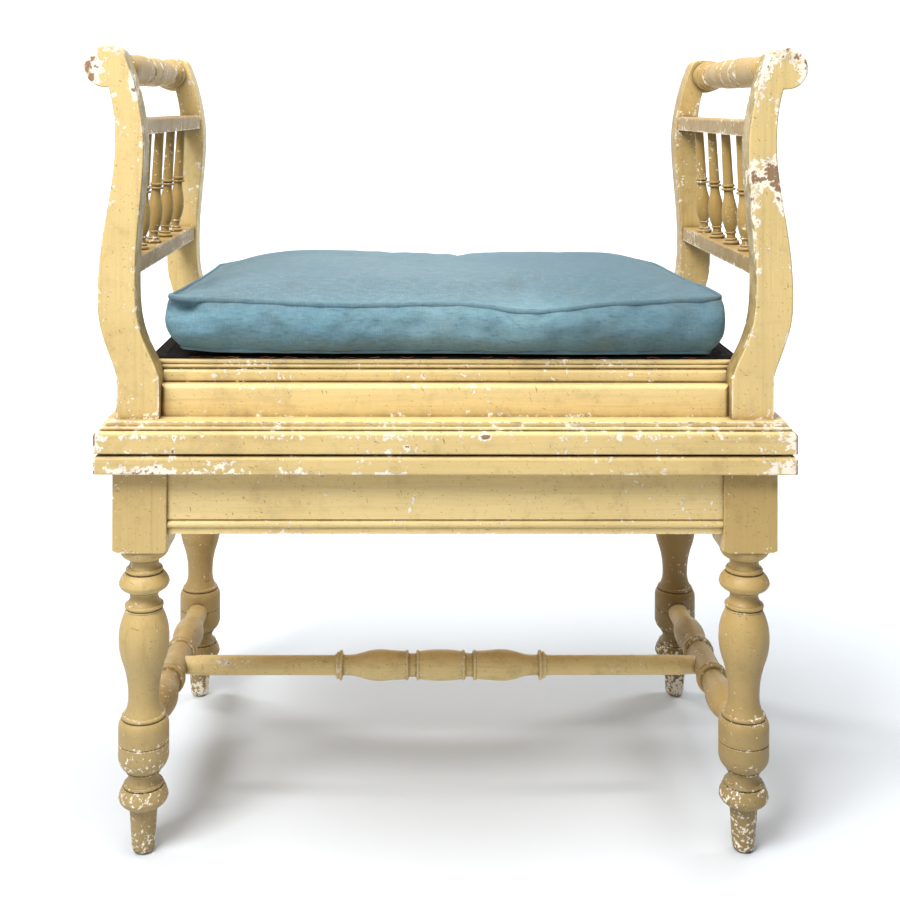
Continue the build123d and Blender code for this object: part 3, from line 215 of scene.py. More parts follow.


# %% [markdown]
# The finish puts these together. Colours are laid over each other from the coat of paint outwards:
# clouds of yellowing, brush strokes, grime and age with painted shade, painted shade and dirt near
# the floor and under overhangs, dirt in quirks, then scratches.
# Strokes and grain swell through the film a little, and a chip is a shallow, duller pit, so the
# light catches its rim and the eye reads thickness.


# %% Painted wood
def painted_wood(name, grain, chip_size, wear, grime_and_shade, age_and_shade, floor_shade_and_dirt, handled, worn_places):
    """Chipped cream oil paint on wood whose grain runs along one axis."""
    material, tree, output = new_material(name)
    coordinates = add(tree, "TexCoord")
    place = coordinates.outputs["Object"]
    stretch = [1 / BRUSH_MARK[0]] * 3
    stretch["XYZ".index(grain)] = 1 / BRUSH_MARK[1]
    along = add(tree, "Mapping", {"Vector": place, "Scale": stretch})
    clouds = add(tree, "TexNoise", {"Vector": place, "Scale": 9, "Detail": 3, "Roughness": 0.5})
    mottle = add(tree, "TexNoise", {"Vector": place, "Scale": 60, "Detail": 5, "Roughness": 0.65})
    strokes = add(tree, "TexNoise", {"Vector": along, "Scale": 1, "Detail": 3, "Roughness": 0.6})
    regions = add(tree, "TexNoise", {"Vector": place, "Scale": 17, "Detail": 2, "Roughness": 0.5})
    lift = add(tree, "MapRange", [regions, 0.32, 0.7, -0.09, 0.05], **SOFTLY)
    arris, band, quirk, overhang = edges_and_hollows(tree)
    risk, chip = chips(tree, place, chip_size, wear, arris, band, lift, worn_places)
    hairs = scratches(tree, place, lift)
    rim = add(tree, "MapRange", [risk, CHIP_LINE - 0.025, CHIP_LINE, 0, 1], **SOFTLY)
    depth = add(tree, "Math", [risk, add(tree, "Math", [mottle, 0.5], **TIMES)], **PLUS)
    bare = add(tree, "MapRange", [depth, CHIP_LINE + 0.41, CHIP_LINE + 0.45, 0, 1], **SOFTLY)

    paint = paint_chip(CREAM)
    film = add(tree, "Math", [clouds, mottle], **PLUS)
    smears = add(tree, "TexNoise", {"Vector": along, "Scale": 0.16, "Detail": 6, "Roughness": 0.7})
    patchiness = add(tree, "MapRange", [mottle, 0.25, 0.6, 0.55, 1], **SOFTLY)
    # Painted shade with some dirt: the paint darkens towards the floor.
    low = add(tree, "SeparateXYZ", [place]).outputs["Z"]
    low = add(tree, "MapRange", [low, 0.3, 0.0, 0, floor_shade_and_dirt], **SOFTLY)
    # Painted shade with a brown tone of dirt: the paint is darker under overhangs.
    shade_and_dirt_under_edges = add(tree, "Math", [overhang, patchiness], **TIMES)
    in_quirks = add(tree, "Math", [quirk, patchiness], **TIMES)
    layers = [
        ("#DBBF80", add(tree, "MapRange", [clouds, 0.38, 0.64, 0, 0.8], **SOFTLY)),
        ("#C6AC74", add(tree, "MapRange", [mottle, 0.5, 0.75, 0, 0.45], **SOFTLY)),
        ("#C2AA74", add(tree, "MapRange", [strokes, 0.48, 0.8, 0, 0.38], **SOFTLY)),
        ("#EFD79E", add(tree, "MapRange", [strokes, 0.48, 0.2, 0, 0.3], **SOFTLY)),
    ]
    if handled:
        side = add(tree, "SeparateXYZ", [coordinates.outputs["Normal"]]).outputs["X"]
        side = add(tree, "Math", [side], operation="ABSOLUTE")
        side = add(tree, "MapRange", [side, 0.55, 0.9, 0, handled], **SOFTLY)
        patchy = add(tree, "MapRange", [mottle, 0.35, 0.65, 0.55, 1], **SOFTLY)
        layers.append(("#857449", add(tree, "Math", [side, patchy], **TIMES)))
    layers += [
        ("#B39A69", add(tree, "MapRange", [film, 1.0, 1.3, 0, 0.12 + 0.34 * grime_and_shade], **SOFTLY)),
        ("#A58C5C", add(tree, "MapRange", [smears, 0.5, 0.75, 0, 0.1 + 0.35 * grime_and_shade], **SOFTLY)),
        # Age browns the paint; on the back and right-hand legs, the back right arm and the spindles it is set
        # higher as painted shade.
        ("#95712B", age_and_shade),
        ("#7E6C46", low),
        ("#8A7044", add(tree, "Math", [shade_and_dirt_under_edges, 0.16 + 0.5 * grime_and_shade], **TIMES)),
        ("#6E5832", add(tree, "Math", [in_quirks, 0.32 + 0.42 * grime_and_shade], **TIMES)),
        ("#5F4A2E", add(tree, "Math", [hairs, 0.6], **TIMES)),
        ("#A3854E", add(tree, "Math", [rim, 0.5], **TIMES)),
    ]
    for chip_of_paint, amount in layers:
        paint = add(tree, "Mix", [amount, paint, paint_chip(chip_of_paint)], **COLOURS)
    stain = add(tree, "MapRange", [mottle, 0.46, 0.7, 0, 0.8], **SOFTLY)
    primer = add(tree, "Mix", [stain, paint_chip("#F4E9D4"), paint_chip("#C8B9A0")], **COLOURS)
    wood = add(tree, "Mix", [strokes, paint_chip("#A48463"), paint_chip("#7A5A3C")], **COLOURS)
    primer = add(tree, "Mix", [bare, primer, wood], **COLOURS)
    colour = add(tree, "Mix", [chip, paint, primer], **COLOURS)

    relief = add(tree, "Math", [strokes, 0.05 * MM], **TIMES)
    relief = add(tree, "Math", [relief, add(tree, "Math", [mottle, 0.1 * MM], **TIMES)], **PLUS)
    relief = add(tree, "Math", [relief, add(tree, "Math", [chip, -CHIP_DEPTH], **TIMES)], **PLUS)
    bump = add(tree, "Bump", {"Height": relief, "Distance": 1.0, "Strength": 0.8})
    gloss = add(tree, "MapRange", [mottle, 0.3, 0.75, 0.46, 0.6], **SOFTLY)
    gloss = add(tree, "Math", [gloss, add(tree, "Math", [chip, 0.3], **TIMES)], **PLUS)
    gloss = add(tree, "Math", [gloss, add(tree, "Math", [quirk, 0.2], **TIMES)], **PLUS)
    surface = add(
        tree,
        "BsdfPrincipled",
        {"Base Color": colour, "Roughness": gloss, "Normal": bump, "IOR": OIL_PAINT_IOR},
    )
    tree.links.new(surface.outputs[0], output.inputs[0])
    return material


# %% [markdown]
# Wear differs from place to place. Feet are kicked and mopped, the lid's rim is knocked by knees and
# bags, and the arms' scrolls are rubbed by hands. Each group of pieces gets its own wear, grime, age,
# painted shade and grain direction from the same recipe, and its own worn places.

# %% Worn places
KICKED_FEET = [
    ((0, 0, 0), (1.2, 1.2, 0.055), 0.21),
    ((0, 0, 0.055), (1.2, 1.2, 0.011), 0.11),
    ((0, 0, 0.083), (1.2, 1.2, 0.007), 0.09),
    ((0, 0, 0.104), (1.2, 1.2, 0.005), 0.04),
]
RUBBED_RIGHT = [
    ((0.308, -0.183, 0.712), (0.040, 0.03, 0.038), 0.34),
    ((0.3065, -0.184, 0.7060), (0.019, 0.035, 0.021), -0.42),
    ((0.291, -0.183, 0.623), (0.028, 0.03, 0.020), 0.29),
    ((0.304, -0.183, 0.603), (0.012, 0.03, 0.024), 0.24),
    ((0.281, -0.183, 0.585), (0.009, 0.02, 0.045), 0.1),
]
RUBBED_LEFT = [
    ((-0.320, -0.183, 0.718), (0.011, 0.03, 0.022), 0.27),
    ((-0.282, -0.183, 0.702), (0.009, 0.03, 0.026), 0.26),
    ((-0.266, -0.183, 0.56), (0.009, 0.02, 0.12), 0.06),
]
RUBBED_GRIPS = [((0, place, 0.722), (1, 0.009, 0.05), 0.1) for place in (-0.11, -0.045, 0.04, 0.105)]
KNOCKED_LID = [
    ((0, -0.2005, 0.3885), (0.36, 0.012, 0.005), 0.08),
    ((-0.270, -0.2, 0.3885), (0.070, 0.012, 0.004), 0.08),
    ((-0.140, -0.2, 0.3885), (0.080, 0.012, 0.004), 0.1),
    ((0.2, -0.2, 0.3885), (0.11, 0.012, 0.004), 0.06),
    ((-0.313, -0.2, 0.385), (0.012, 0.02, 0.013), 0.25),
    ((0.313, -0.2, 0.385), (0.010, 0.02, 0.012), 0.24),
    ((0.0336, -0.2, 0.389), (0.007, 0.01, 0.004), 0.34),
    ((-0.2424, -0.2, 0.385), (0.0022, 0.01, 0.006), 0.25),
    ((-0.2436, -0.2, 0.377), (0.0022, 0.01, 0.006), 0.25),
    ((-0.035, -0.2, 0.379), (0.004, 0.01, 0.004), 0.25),
]
SCUFFED_SLAB = [
    ((-0.275, -0.2, 0.359), (0.050, 0.012, 0.009), 0.2),
    ((-0.202, -0.2, 0.362), (0.034, 0.012, 0.010), 0.17),
    ((-0.131, -0.2, 0.362), (0.045, 0.012, 0.009), 0.12),
    ((0.302, -0.2, 0.361), (0.022, 0.02, 0.010), 0.2),
    ((0, -0.2, 0.355), (0.33, 0.012, 0.003), 0.07),
]
NICKED_RAILS = [
    ((-0.223, -0.188, 0.4315), (0.040, 0.012, 0.006), 0.19),
    ((-0.2, -0.19, 0.4445), (0.065, 0.012, 0.005), 0.16),
    ((0.0035, -0.188, 0.430), (0.0018, 0.01, 0.006), 0.3),
    ((-0.0015, -0.188, 0.431), (0.0018, 0.01, 0.005), 0.3),
]
NICKED_APRON = [
    ((-0.0270, -0.183, 0.3325), (0.0055, 0.01, 0.005), 0.25),
    ((-0.0300, -0.183, 0.3255), (0.0040, 0.01, 0.006), 0.25),
    ((-0.0330, -0.183, 0.3185), (0.0030, 0.01, 0.005), 0.25),
    ((0.1, -0.183, 0.333), (0.0045, 0.01, 0.004), 0.22),
    ((0.215, -0.183, 0.325), (0.0025, 0.01, 0.012), 0.22),
]
SCRAPED_STRETCHER = [
    ((-0.222, -0.02, 0.108), (0.017, 0.03, 0.010), 0.2),
    ((-0.206, -0.02, 0.106), (0.009, 0.03, 0.006), 0.14),
]
print("worn places on the right arm:", len(RUBBED_RIGHT))

# %% [markdown]
# One row per group of pieces. The legs at the back and on the right get more age, and the back right
# arm and the spindles more grime and age, which is painted shade there; the arms have a grey film on
# the faces that hands slide along. A piece takes the row that holds the longest beginning of its
# name, so one piece can be told apart from its group.

# %% Paint the wooden pieces
# Grain, chip size in mm, wear, grime with painted shade, age with painted shade,
# painted shade and dirt near the floor, grey film, worn places, pieces.
FINISHES = {
    "front_left_leg": ("Z", 4, 0.3, 1, 0.42, 0.6, 0, KICKED_FEET, ["leg_front_left"]),
    "front_right_leg": ("Z", 4, 0.3, 1, 0.56, 0.75, 0, KICKED_FEET, ["leg_front_right"]),
    "back_left_leg": ("Z", 4, 0.35, 1, 0.62, 0.6, 0, KICKED_FEET, ["leg_back_left"]),
    "back_right_leg": ("Z", 4, 0.35, 1, 0.95, 0.9, 0, KICKED_FEET, ["leg_back_right"]),
    "right_arm": ("Z", 8, 0.8, 0.75, 0.14, 0, 0.95, RUBBED_RIGHT, ["arm_front_right"]),
    "back_right_arm": ("Z", 5, 0.7, 1, 0.4, 0, 0.8, [], ["arm_back_right"]),
    "back_left_arm": ("Z", 8, 0.6, 0.4, 0.1, 0, 0.35, [], ["arm_back_left"]),
    "left_arm": ("Z", 8, 0.8, 0.75, 0.18, 0, 0.9, RUBBED_LEFT, ["arm_front_left"]),
    "arm_rails": ("Z", 4, 0.6, 1, 0.75, 0, 0.75, [], ["arm_upper", "arm_lower"]),
    "grips": ("Y", 5, 0.6, 0.9, 0.7, 0, 0, RUBBED_GRIPS, ["grip_"]),
    "side_stretchers": ("Y", 5, 0.5, 0.9, 0.5, 0.4, 0, [], ["side_stretcher"]),
    "spindles": ("Z", 4, 0.3, 1, 0.75, 0, 0, [], ["spindle_"]),
    "lid_ends": ("X", 8, 0.6, 0.8, 0.14, 0, 0, KNOCKED_LID, ["lid_frame_front", "lid_frame_back"]),
    "lid_sides": ("Y", 8, 0.6, 0.8, 0.14, 0, 0, KNOCKED_LID, ["lid_frame_left", "lid_frame_right"]),
    "slab": ("X", 8, 0.6, 0.7, 0.18, 0, 0, SCUFFED_SLAB, ["base_frame_front", "base_frame_back"]),
    "slab_sides": ("Y", 8, 0.6, 0.7, 0.18, 0, 0, SCUFFED_SLAB, ["base_frame_left", "base_frame_right"]),
    "seat_rails": ("X", 6, 0.42, 0.7, 0, 0, 0, NICKED_RAILS, ["seat_"]),
    "seat_sides": (
        "Y", 6, 0.45, 0.5, 0, 0, 0, [], ["seat_rail_l", "seat_rail_r", "seat_band_l", "seat_band_r"]
    ),
    "reeded_sides": ("Y", 6, 0.5, 0.6, 0, 0, 0, [], ["seat_frame_l", "seat_frame_r"]),
    "aprons": ("X", 6, 0.32, 0.3, 0, 0, 0, NICKED_APRON, ["apron_"]),
    "apron_sides": ("Y", 6, 0.35, 0.6, 0.1, 0, 0, [], ["apron_l", "apron_r"]),
    "cross_stretcher": ("X", 5, 0.5, 0.75, 0, 0, 0, SCRAPED_STRETCHER, ["cross_"]),
}
for finish, (*recipe, _) in FINISHES.items():
    painted_wood(f"oil_paint_on_{finish}", *recipe)


def finish_for(name):
    """The finish whose list holds the longest beginning of this piece's name."""
    fits = [
        (len(start), finish)
        for finish, (*_, starts) in FINISHES.items()
        for start in starts
        if name.startswith(start)
    ]
    return max(fits)[1] if fits else None


print("mixed", len(FINISHES), "painted finishes, such as", finish_for("seat_band_left"))

# %% [markdown]
# ## The other hard materials
#
# The floor of the compartment, the seat board and the dowels were never painted: planed pine, a
# little grey. Noise stretched along the board stands for the growth rings, which planing lays bare as
# long uneven stripes. Hinges are pressed brass that has tarnished, their screws are dull steel, and
# the buffers under the lid are leather.

# %% Bare pine
PINE_RING_WIDTH = 8 * MM


def planed_pine():
    material, tree, output = new_material("planed_pine")
    place = add(tree, "TexCoord").outputs["Object"]
    board = add(tree, "Mapping", {"Vector": place, "Scale": (1.6, 1 / PINE_RING_WIDTH, 1 / PINE_RING_WIDTH)})
    drift = add(tree, "TexNoise", {"Vector": place, "Scale": 9, "Detail": 3})
    rings = {"Vector": board, "Scale": 1, "Detail": 4, "Roughness": 0.6, "Distortion": 0.4}
    rings = add(tree, "TexNoise", rings)
    late = add(tree, "MapRange", [rings, 0.45, 0.7, 0, 0.8], **SOFTLY)
    greyed = add(tree, "MapRange", [drift, 0.45, 0.75, 0, 0.6], **SOFTLY)
    wood = add(tree, "Mix", [late, paint_chip("#C9A674"), paint_chip("#A37C4B")], **COLOURS)
    wood = add(tree, "Mix", [greyed, wood, paint_chip("#8F8061")], **COLOURS)
    rough = add(tree, "MapRange", [drift, 0.3, 0.7, 0.6, 0.75], **SOFTLY)
    bump = add(tree, "Bump", {"Height": rings, "Distance": 0.08 * MM, "Strength": 0.6})
    surface = add(tree, "BsdfPrincipled", {"Base Color": wood, "Roughness": rough, "Normal": bump})
    tree.links.new(surface.outputs[0], output.inputs[0])
    return material


pine = planed_pine()
print("mixed", pine.name)

# %% [markdown]
# Metal and leather parts are small, so a patchy change of colour and roughness is enough: tarnish
# and handling dull them in spots, and a clean part of one colour would look like plastic.


# %% Tarnished brass, dull steel and buffer leather
def small_hardware(name, clean, dull, metallic, roughness, patch_size):
    """A plain material with patches of a duller colour, for small parts."""
    material, tree, output = new_material(name)
    place = add(tree, "TexCoord").outputs["Object"]
    patches = add(tree, "TexNoise", {"Vector": place, "Scale": 1 / patch_size, "Detail": 5})
    dulled = add(tree, "MapRange", [patches, 0.4, 0.65, 0, 1], **SOFTLY)
    colour = add(tree, "Mix", [dulled, paint_chip(clean), paint_chip(dull)], **COLOURS)
    rough = add(tree, "MapRange", [patches, 0.35, 0.7, roughness, roughness + 0.25], **SOFTLY)
    bump = add(tree, "Bump", {"Height": patches, "Distance": 0.05 * MM, "Strength": 0.5})
    surface = add(
        tree,
        "BsdfPrincipled",
        {"Base Color": colour, "Metallic": metallic, "Roughness": rough, "Normal": bump},
    )
    tree.links.new(surface.outputs[0], output.inputs[0])
    return material


brass = small_hardware("tarnished_pressed_brass", "#B08D4C", "#6E5831", 1.0, 0.32, 5 * MM)
steel = small_hardware("dull_steel", "#8D8A86", "#5C5650", 1.0, 0.4, 2 * MM)
leather = small_hardware("buffer_leather", "#5A3D28", "#3B271A", 0.0, 0.65, 1.5 * MM)
UNPAINTED = {"compartment_floor": pine, "seat_board": pine, "arm_dowels": pine, "lid_buffers": leather}

for name, piece in nodes.items():
    if name in ("seat_cushion", "seat_pad"):
        continue
    material = UNPAINTED.get(name)
    if name.startswith("hinge_"):
        material = steel if "screws" in name else brass
    if material is None:
        material = bpy.data.materials[f"oil_paint_on_{finish_for(name)}"]
    piece.data.materials.clear()
    piece.data.materials.append(material)
print("finished", len(nodes) - 2, "solid pieces")

# %% [markdown]
# ## The cushion
#
# The cushion is a slab of flock in a cover of blue furnishing cotton. A top and a bottom panel are
# sewn to a boxing strip, and the seam allowance is turned in and stitched down as a narrow welt.
# After years of use the seams no longer run straight: they sag between the corners and rise at
# them, and the panels swell between the seams.
#
# The cover is drawn as a grid with its two seams as edge loops, already close to its used shape.
# Short tables give the height of the seams and of the crest across the width. Cloth pressure then
# adds what a drawing can't: the small puckers along a seam that is tighter than its panels.

# %% Heights of the used cushion
pad_low, pad_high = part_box("seat_pad")
SEAT_Z = pad_high.z + 0.3 * MM
PANEL_X = 251 * MM
PANEL_FRONT, PANEL_BACK = -165 * MM, 153 * MM
WEAVE_STEP = 6.2 * MM
CORNER = 12 * MM
# Each table: places across the width (or depth), and the height (or reach) there, in mm.
FRONT_SEAM = [(-254, 508), (-233, 507), (-79, 502), (12, 503)]
FRONT_SEAM += [(77, 496.5), (169, 504.5), (233, 507), (254, 508)]
CREST = [(-250, 506), (-200, 512.5), (-142, 515), (11, 512), (205, 513.5), (239, 510), (254, 506)]
BOTTOM_SEAM = [(-254, 460), (-205, 457), (0, 456), (254, 455.5)]
RIGHT_END = [(-165, 256), (-110, 257), (-70, 257), (-40, 252), (60, 250.5), (153, 251)]
LEFT_END = [(-165, 254), (-90, 251), (0, 249), (80, 249), (153, 251)]
FRONT_LINE = [(-254, 164), (-130, 166.5), (0, 163), (110, 166), (254, 161)]


def along(table, place):
    """The value at a place in a table, eased from one entry to the next."""
    place /= MM
    if place <= table[0][0]:
        return table[0][1] * MM
    for (start, low), (end, high) in zip(table, table[1:]):
        if place <= end:
            share = (place - start) / (end - start)
            share = share * share * (3 - 2 * share)
            return (low + (high - low) * share) * MM
    return table[-1][1] * MM


print("front seam dips to", min(height for _, height in FRONT_SEAM), "mm")

# %% [markdown]
# Three small functions give the used shape: the plan of a panel with its rounded corners, the
# height of the crowned top, and how far the boxing bulges between its two seams.


# %% Plan and side of the cover
def sewn_plan(across, back):
    """A point of the panel, from shares of -1..1 across and 0..1 back, with its corners rounded."""
    x = PANEL_X * across
    y = PANEL_FRONT + (PANEL_BACK - PANEL_FRONT) * back
    middle_y = (PANEL_FRONT + PANEL_BACK) / 2
    half_y = (PANEL_BACK - PANEL_FRONT) / 2
    over_x = abs(x) - (PANEL_X - CORNER)
    over_y = abs(y - middle_y) - (half_y - CORNER)
    if over_x > 0 and over_y > 0:
        keep = max(over_x, over_y) / math.hypot(over_x, over_y)
        x = math.copysign(PANEL_X - CORNER + over_x * keep, x)
        y = middle_y + math.copysign(half_y - CORNER + over_y * keep, y - middle_y)
    reach = along(RIGHT_END if x > 0 else LEFT_END, y) / PANEL_X
    front = along(FRONT_LINE, x) / -PANEL_FRONT
    return x * (1 + (reach - 1) * abs(across) ** 3), y * (1 + (front - 1) * (1 - back) ** 3)


def top_height(x, across, back):
    """Height of the top panel: its seams, with a crown between them."""
    seam = along(FRONT_SEAM, x) * (1 - back) + (along(CREST, x) - 6 * MM) * back
    crest = along(CREST, x) - (along(FRONT_SEAM, x) * 0.4 + (along(CREST, x) - 6 * MM) * 0.6)
    crown = (1 - abs(2 * back - 1.06) ** 2.6 / 1.06**2.6) * (1 - abs(across) ** 16)
    return seam + crest * max(0.0, crown)


def boxing_reach(share):
    """How far the boxing stands out of the top seam, from 0 at the bottom seam to 1 at the top."""
    return (-10 + 57 * share - 47 * share * share) * MM


print("boxing bulges", round(max(boxing_reach(step / 20) for step in range(21)) / MM, 1), "mm")

# %% [markdown]
# The grid has one square of cloth per weave step. Both panels and the boxing share the corners
# along the seams, so the cover is closed and pressure can fill it.


# %% Sew the cover
def sewn_cover():
    """Two panels and the boxing between them as one mesh, with its seams."""
    columns = round(2 * PANEL_X / WEAVE_STEP)
    rows = round((PANEL_BACK - PANEL_FRONT) / WEAVE_STEP)
    layers = 9
    shape = bmesh.new()
    grid = {}

    def corner_at(i, j, k):
        key = (i, j, k)
        if key not in grid:
            across, back, share = 2 * i / columns - 1, j / rows, k / layers
            x, y = sewn_plan(across, back)
            top = top_height(x, across, back)
            low = along(BOTTOM_SEAM, x)
            rim = max(abs(across), abs(2 * back - 1))
            out = boxing_reach(share) * rim**3
            edge_x = math.copysign(min(1.0, abs(across) ** 12), across)
            edge_y = math.copysign(min(1.0, abs(2 * back - 1) ** 12), back - 0.5)
            length = max(1.0, math.hypot(edge_x, edge_y))
            z = low + (top - low) * share
            if k == 0:
                z = SEAT_Z + (low - SEAT_Z) * rim**6
            grid[key] = shape.verts.new((x + out * edge_x / length, y + out * edge_y / length, z))
        return grid[key]

    def face(*keys):
        shape.faces.new([corner_at(*key) for key in keys])

    for i in range(columns):
        for j in range(rows):
            face((i, j, layers), (i + 1, j, layers), (i + 1, j + 1, layers), (i, j + 1, layers))
            face((i, j, 0), (i, j + 1, 0), (i + 1, j + 1, 0), (i + 1, j, 0))
    for k in range(layers):
        for i in range(columns):
            face((i, 0, k), (i + 1, 0, k), (i + 1, 0, k + 1), (i, 0, k + 1))
            face((i, rows, k), (i, rows, k + 1), (i + 1, rows, k + 1), (i + 1, rows, k))
        for j in range(rows):
            face((0, j, k), (0, j, k + 1), (0, j + 1, k + 1), (0, j + 1, k))
            face((columns, j, k), (columns, j + 1, k), (columns, j + 1, k + 1), (columns, j, k + 1))
    shape.verts.index_update()
    edge_loop = [(i, 0) for i in range(columns)] + [(columns, j) for j in range(rows)]
    edge_loop += [(i, rows) for i in range(columns, 0, -1)] + [(0, j) for j in range(rows, 0, -1)]
    top_seam = [grid[(i, j, layers)].index for i, j in edge_loop]
    bottom_seam = [grid[(i, j, 0)].index for i, j in edge_loop]
    mesh = bpy.data.meshes.new("cushion_cover")
    shape.to_mesh(mesh)
    shape.free()
    return mesh, top_seam, bottom_seam


cover_mesh, top_seam, bottom_seam = sewn_cover()
cushion = bpy.data.objects.new("cushion_cover", cover_mesh)
bpy.context.collection.objects.link(cushion)
print("cover has", len(cover_mesh.vertices), "corners and a seam of", len(top_seam), "stitches")

# %% [markdown]
# Before it is filled, the cover gets gentle unevenness from noise, so that the cloth buckles where
# a used cover would instead of evenly. The seams are pinned, because thread doesn't stretch. The
# rest grows by about one per cent while the pressure acts, and how far any point may move is capped.

# %% Fill it
PANEL_GROWTH = 0.012
SWELL_LIMIT = 9 * MM
rest_shape = [vertex.co.copy() for vertex in cover_mesh.vertices]
seam_group = cushion.vertex_groups.new(name="seams")
seam_group.add(top_seam + bottom_seam, 1.0, "REPLACE")
seam_stitches = set(top_seam + bottom_seam)
for vertex in cover_mesh.vertices:
    ruffle = noise.noise(vertex.co * 13 + Vector((3.1, 0, 0)))
    fine = noise.noise(Vector((vertex.co.x * 42, vertex.co.y * 27, vertex.co.z * 40)))
    if vertex.index not in seam_stitches:
        vertex.co += Vector((0.2 * fine, 0.4 * fine + 0.4 * ruffle, 0.8 * ruffle + 0.5 * fine)) * MM

bpy.context.view_layer.objects.active = cushion
cloth = cushion.modifiers.new("Cloth", "CLOTH")
cloth.settings.quality = 6
cloth.settings.mass = 0.2
cloth.settings.tension_stiffness = 14
cloth.settings.compression_stiffness = 14
cloth.settings.bending_stiffness = 0.4
cloth.settings.use_pressure = True
cloth.settings.uniform_pressure_force = 3.0
cloth.settings.vertex_group_mass = "seams"
cloth.settings.pin_stiffness = 1
cloth.settings.shrink_min = -PANEL_GROWTH
cloth.settings.effector_weights.gravity = 0
cloth.collision_settings.use_collision = False
for step in range(1, 21):
    bpy.context.scene.frame_set(step)
filled = cushion.evaluated_get(bpy.context.evaluated_depsgraph_get())
places = [vertex.co.copy() for vertex in filled.data.vertices]
cushion.modifiers.clear()
bpy.context.scene.frame_set(1)
for vertex, rest, place in zip(cover_mesh.vertices, rest_shape, places):
    shift = place - rest
    if shift.length > SWELL_LIMIT:
        shift *= SWELL_LIMIT / shift.length
    vertex.co = rest + shift

# %% [markdown]
# The filled cushion is then bedded down: its underside is flat where it lies on the seat, its ends
# stay between the arms, and the left end curls up a little, as flock does after years of use. A few
# folds that a cloth solver wouldn't find are listed and pressed in: the tuck where the front left
# corner is caught under the seam, the fullness below it, a crease beside the seam at the right end,
# and soft hollows where people sat.

# %% Bed it down and press the folds in
END_LIMIT = 259 * MM
FRONT_LIMIT = -174 * MM
# Each fold: centre, radii and push, in mm.
FOLDS = [
    ((-243, -168, 497), (17, 16, 7), (6, 17, -2)),
    ((-252, -162, 507), (9, 9, 8), (-3, -3, 2)),
    ((-236, -168, 483), (26, 14, 6), (0, 4, 0)),
    ((-222, -168, 473), (20, 12, 9), (0, -3.5, 0)),
    ((238, 55, 507), (5, 95, 16), (0, 0, -6)),
    ((227, 60, 510), (6, 85, 16), (0, 0, 2)),
    ((222, 128, 507), (20, 5, 14), (0, 0, -5)),
    ((212, 100, 508), (24, 5, 14), (0, 0, -3)),
    ((200, 139, 507), (16, 7, 14), (0, 0, 3)),
    ((-215, 120, 508), (24, 6, 14), (0, 0, -3)),
    ((-110, -60, 512), (60, 9, 20), (0, 0, -1.6)),
    ((60, -90, 508), (70, 8, 20), (0, 0, -1.8)),
    ((150, 20, 512), (10, 60, 20), (0, 0, -1.8)),
    ((-190, 20, 512), (12, 70, 20), (0, 0, -1.6)),
    ((-60, -170, 484), (60, 14, 6), (0, 2.4, 0)),
    ((90, -170, 476), (50, 14, 5), (0, 2.4, 0)),
    ((170, -170, 486), (40, 14, 6), (0, 2.0, 0)),
    ((20, -170, 470), (70, 14, 6), (0, -1.6, 0)),
    ((222, -168, 480), (10, 14, 16), (0, 2.6, 0)),
    ((-165, -168, 486), (14, 14, 12), (0, 2.4, 0)),
]


def pressed(place):
    """A point of the cover after the folds."""
    moved = place.copy()
    for centre, radii, push in FOLDS:
        away = Vector(((place[n] / MM - centre[n]) / radii[n] for n in range(3))).length
        if away < 2:
            moved += Vector(push) * MM * math.exp(-1.4 * away * away)
    return moved


def bedded(place):
    """Where a point of the filled cover comes to rest."""
    x, y, z = place
    near_left = max(0.0, -x - 205 * MM) / (45 * MM)
    lift = 4 * MM * near_left**2
    floor = SEAT_Z + lift
    if z < floor:
        z = floor + (z - floor) * 0.04
    x = max(-END_LIMIT, min(END_LIMIT, x))
    return Vector((x, max(FRONT_LIMIT, y), z))


for vertex in cover_mesh.vertices:
    vertex.co = bedded(pressed(vertex.co))
for polygon in cover_mesh.polygons:
    polygon.use_smooth = True
seams = [[cover_mesh.vertices[index].co.copy() for index in seam] for seam in (top_seam, bottom_seam)]
bpy.context.view_layer.objects.active = cushion
cushion.select_set(True)
finer = cushion.modifiers.new("finer", "SUBSURF")
finer.levels = finer.render_levels = 1
bpy.ops.object.modifier_apply(modifier="finer")
print("cushion crest at", round(max(v.co.z for v in cushion.data.vertices) * 1000), "mm")


# %% [markdown]
# The welt is a flat ridge about 5 mm wide along each seam: the turned-in allowance, stitched down.
# It is a small tube with an oval section that follows the seam, sunk half its width into the cover
# and standing a little proud, so that a thin shadow falls under it.

# %% Welts
WELT_HALF_WIDTH = 2.7 * MM
WELT_HALF_THICKNESS = 1.5 * MM


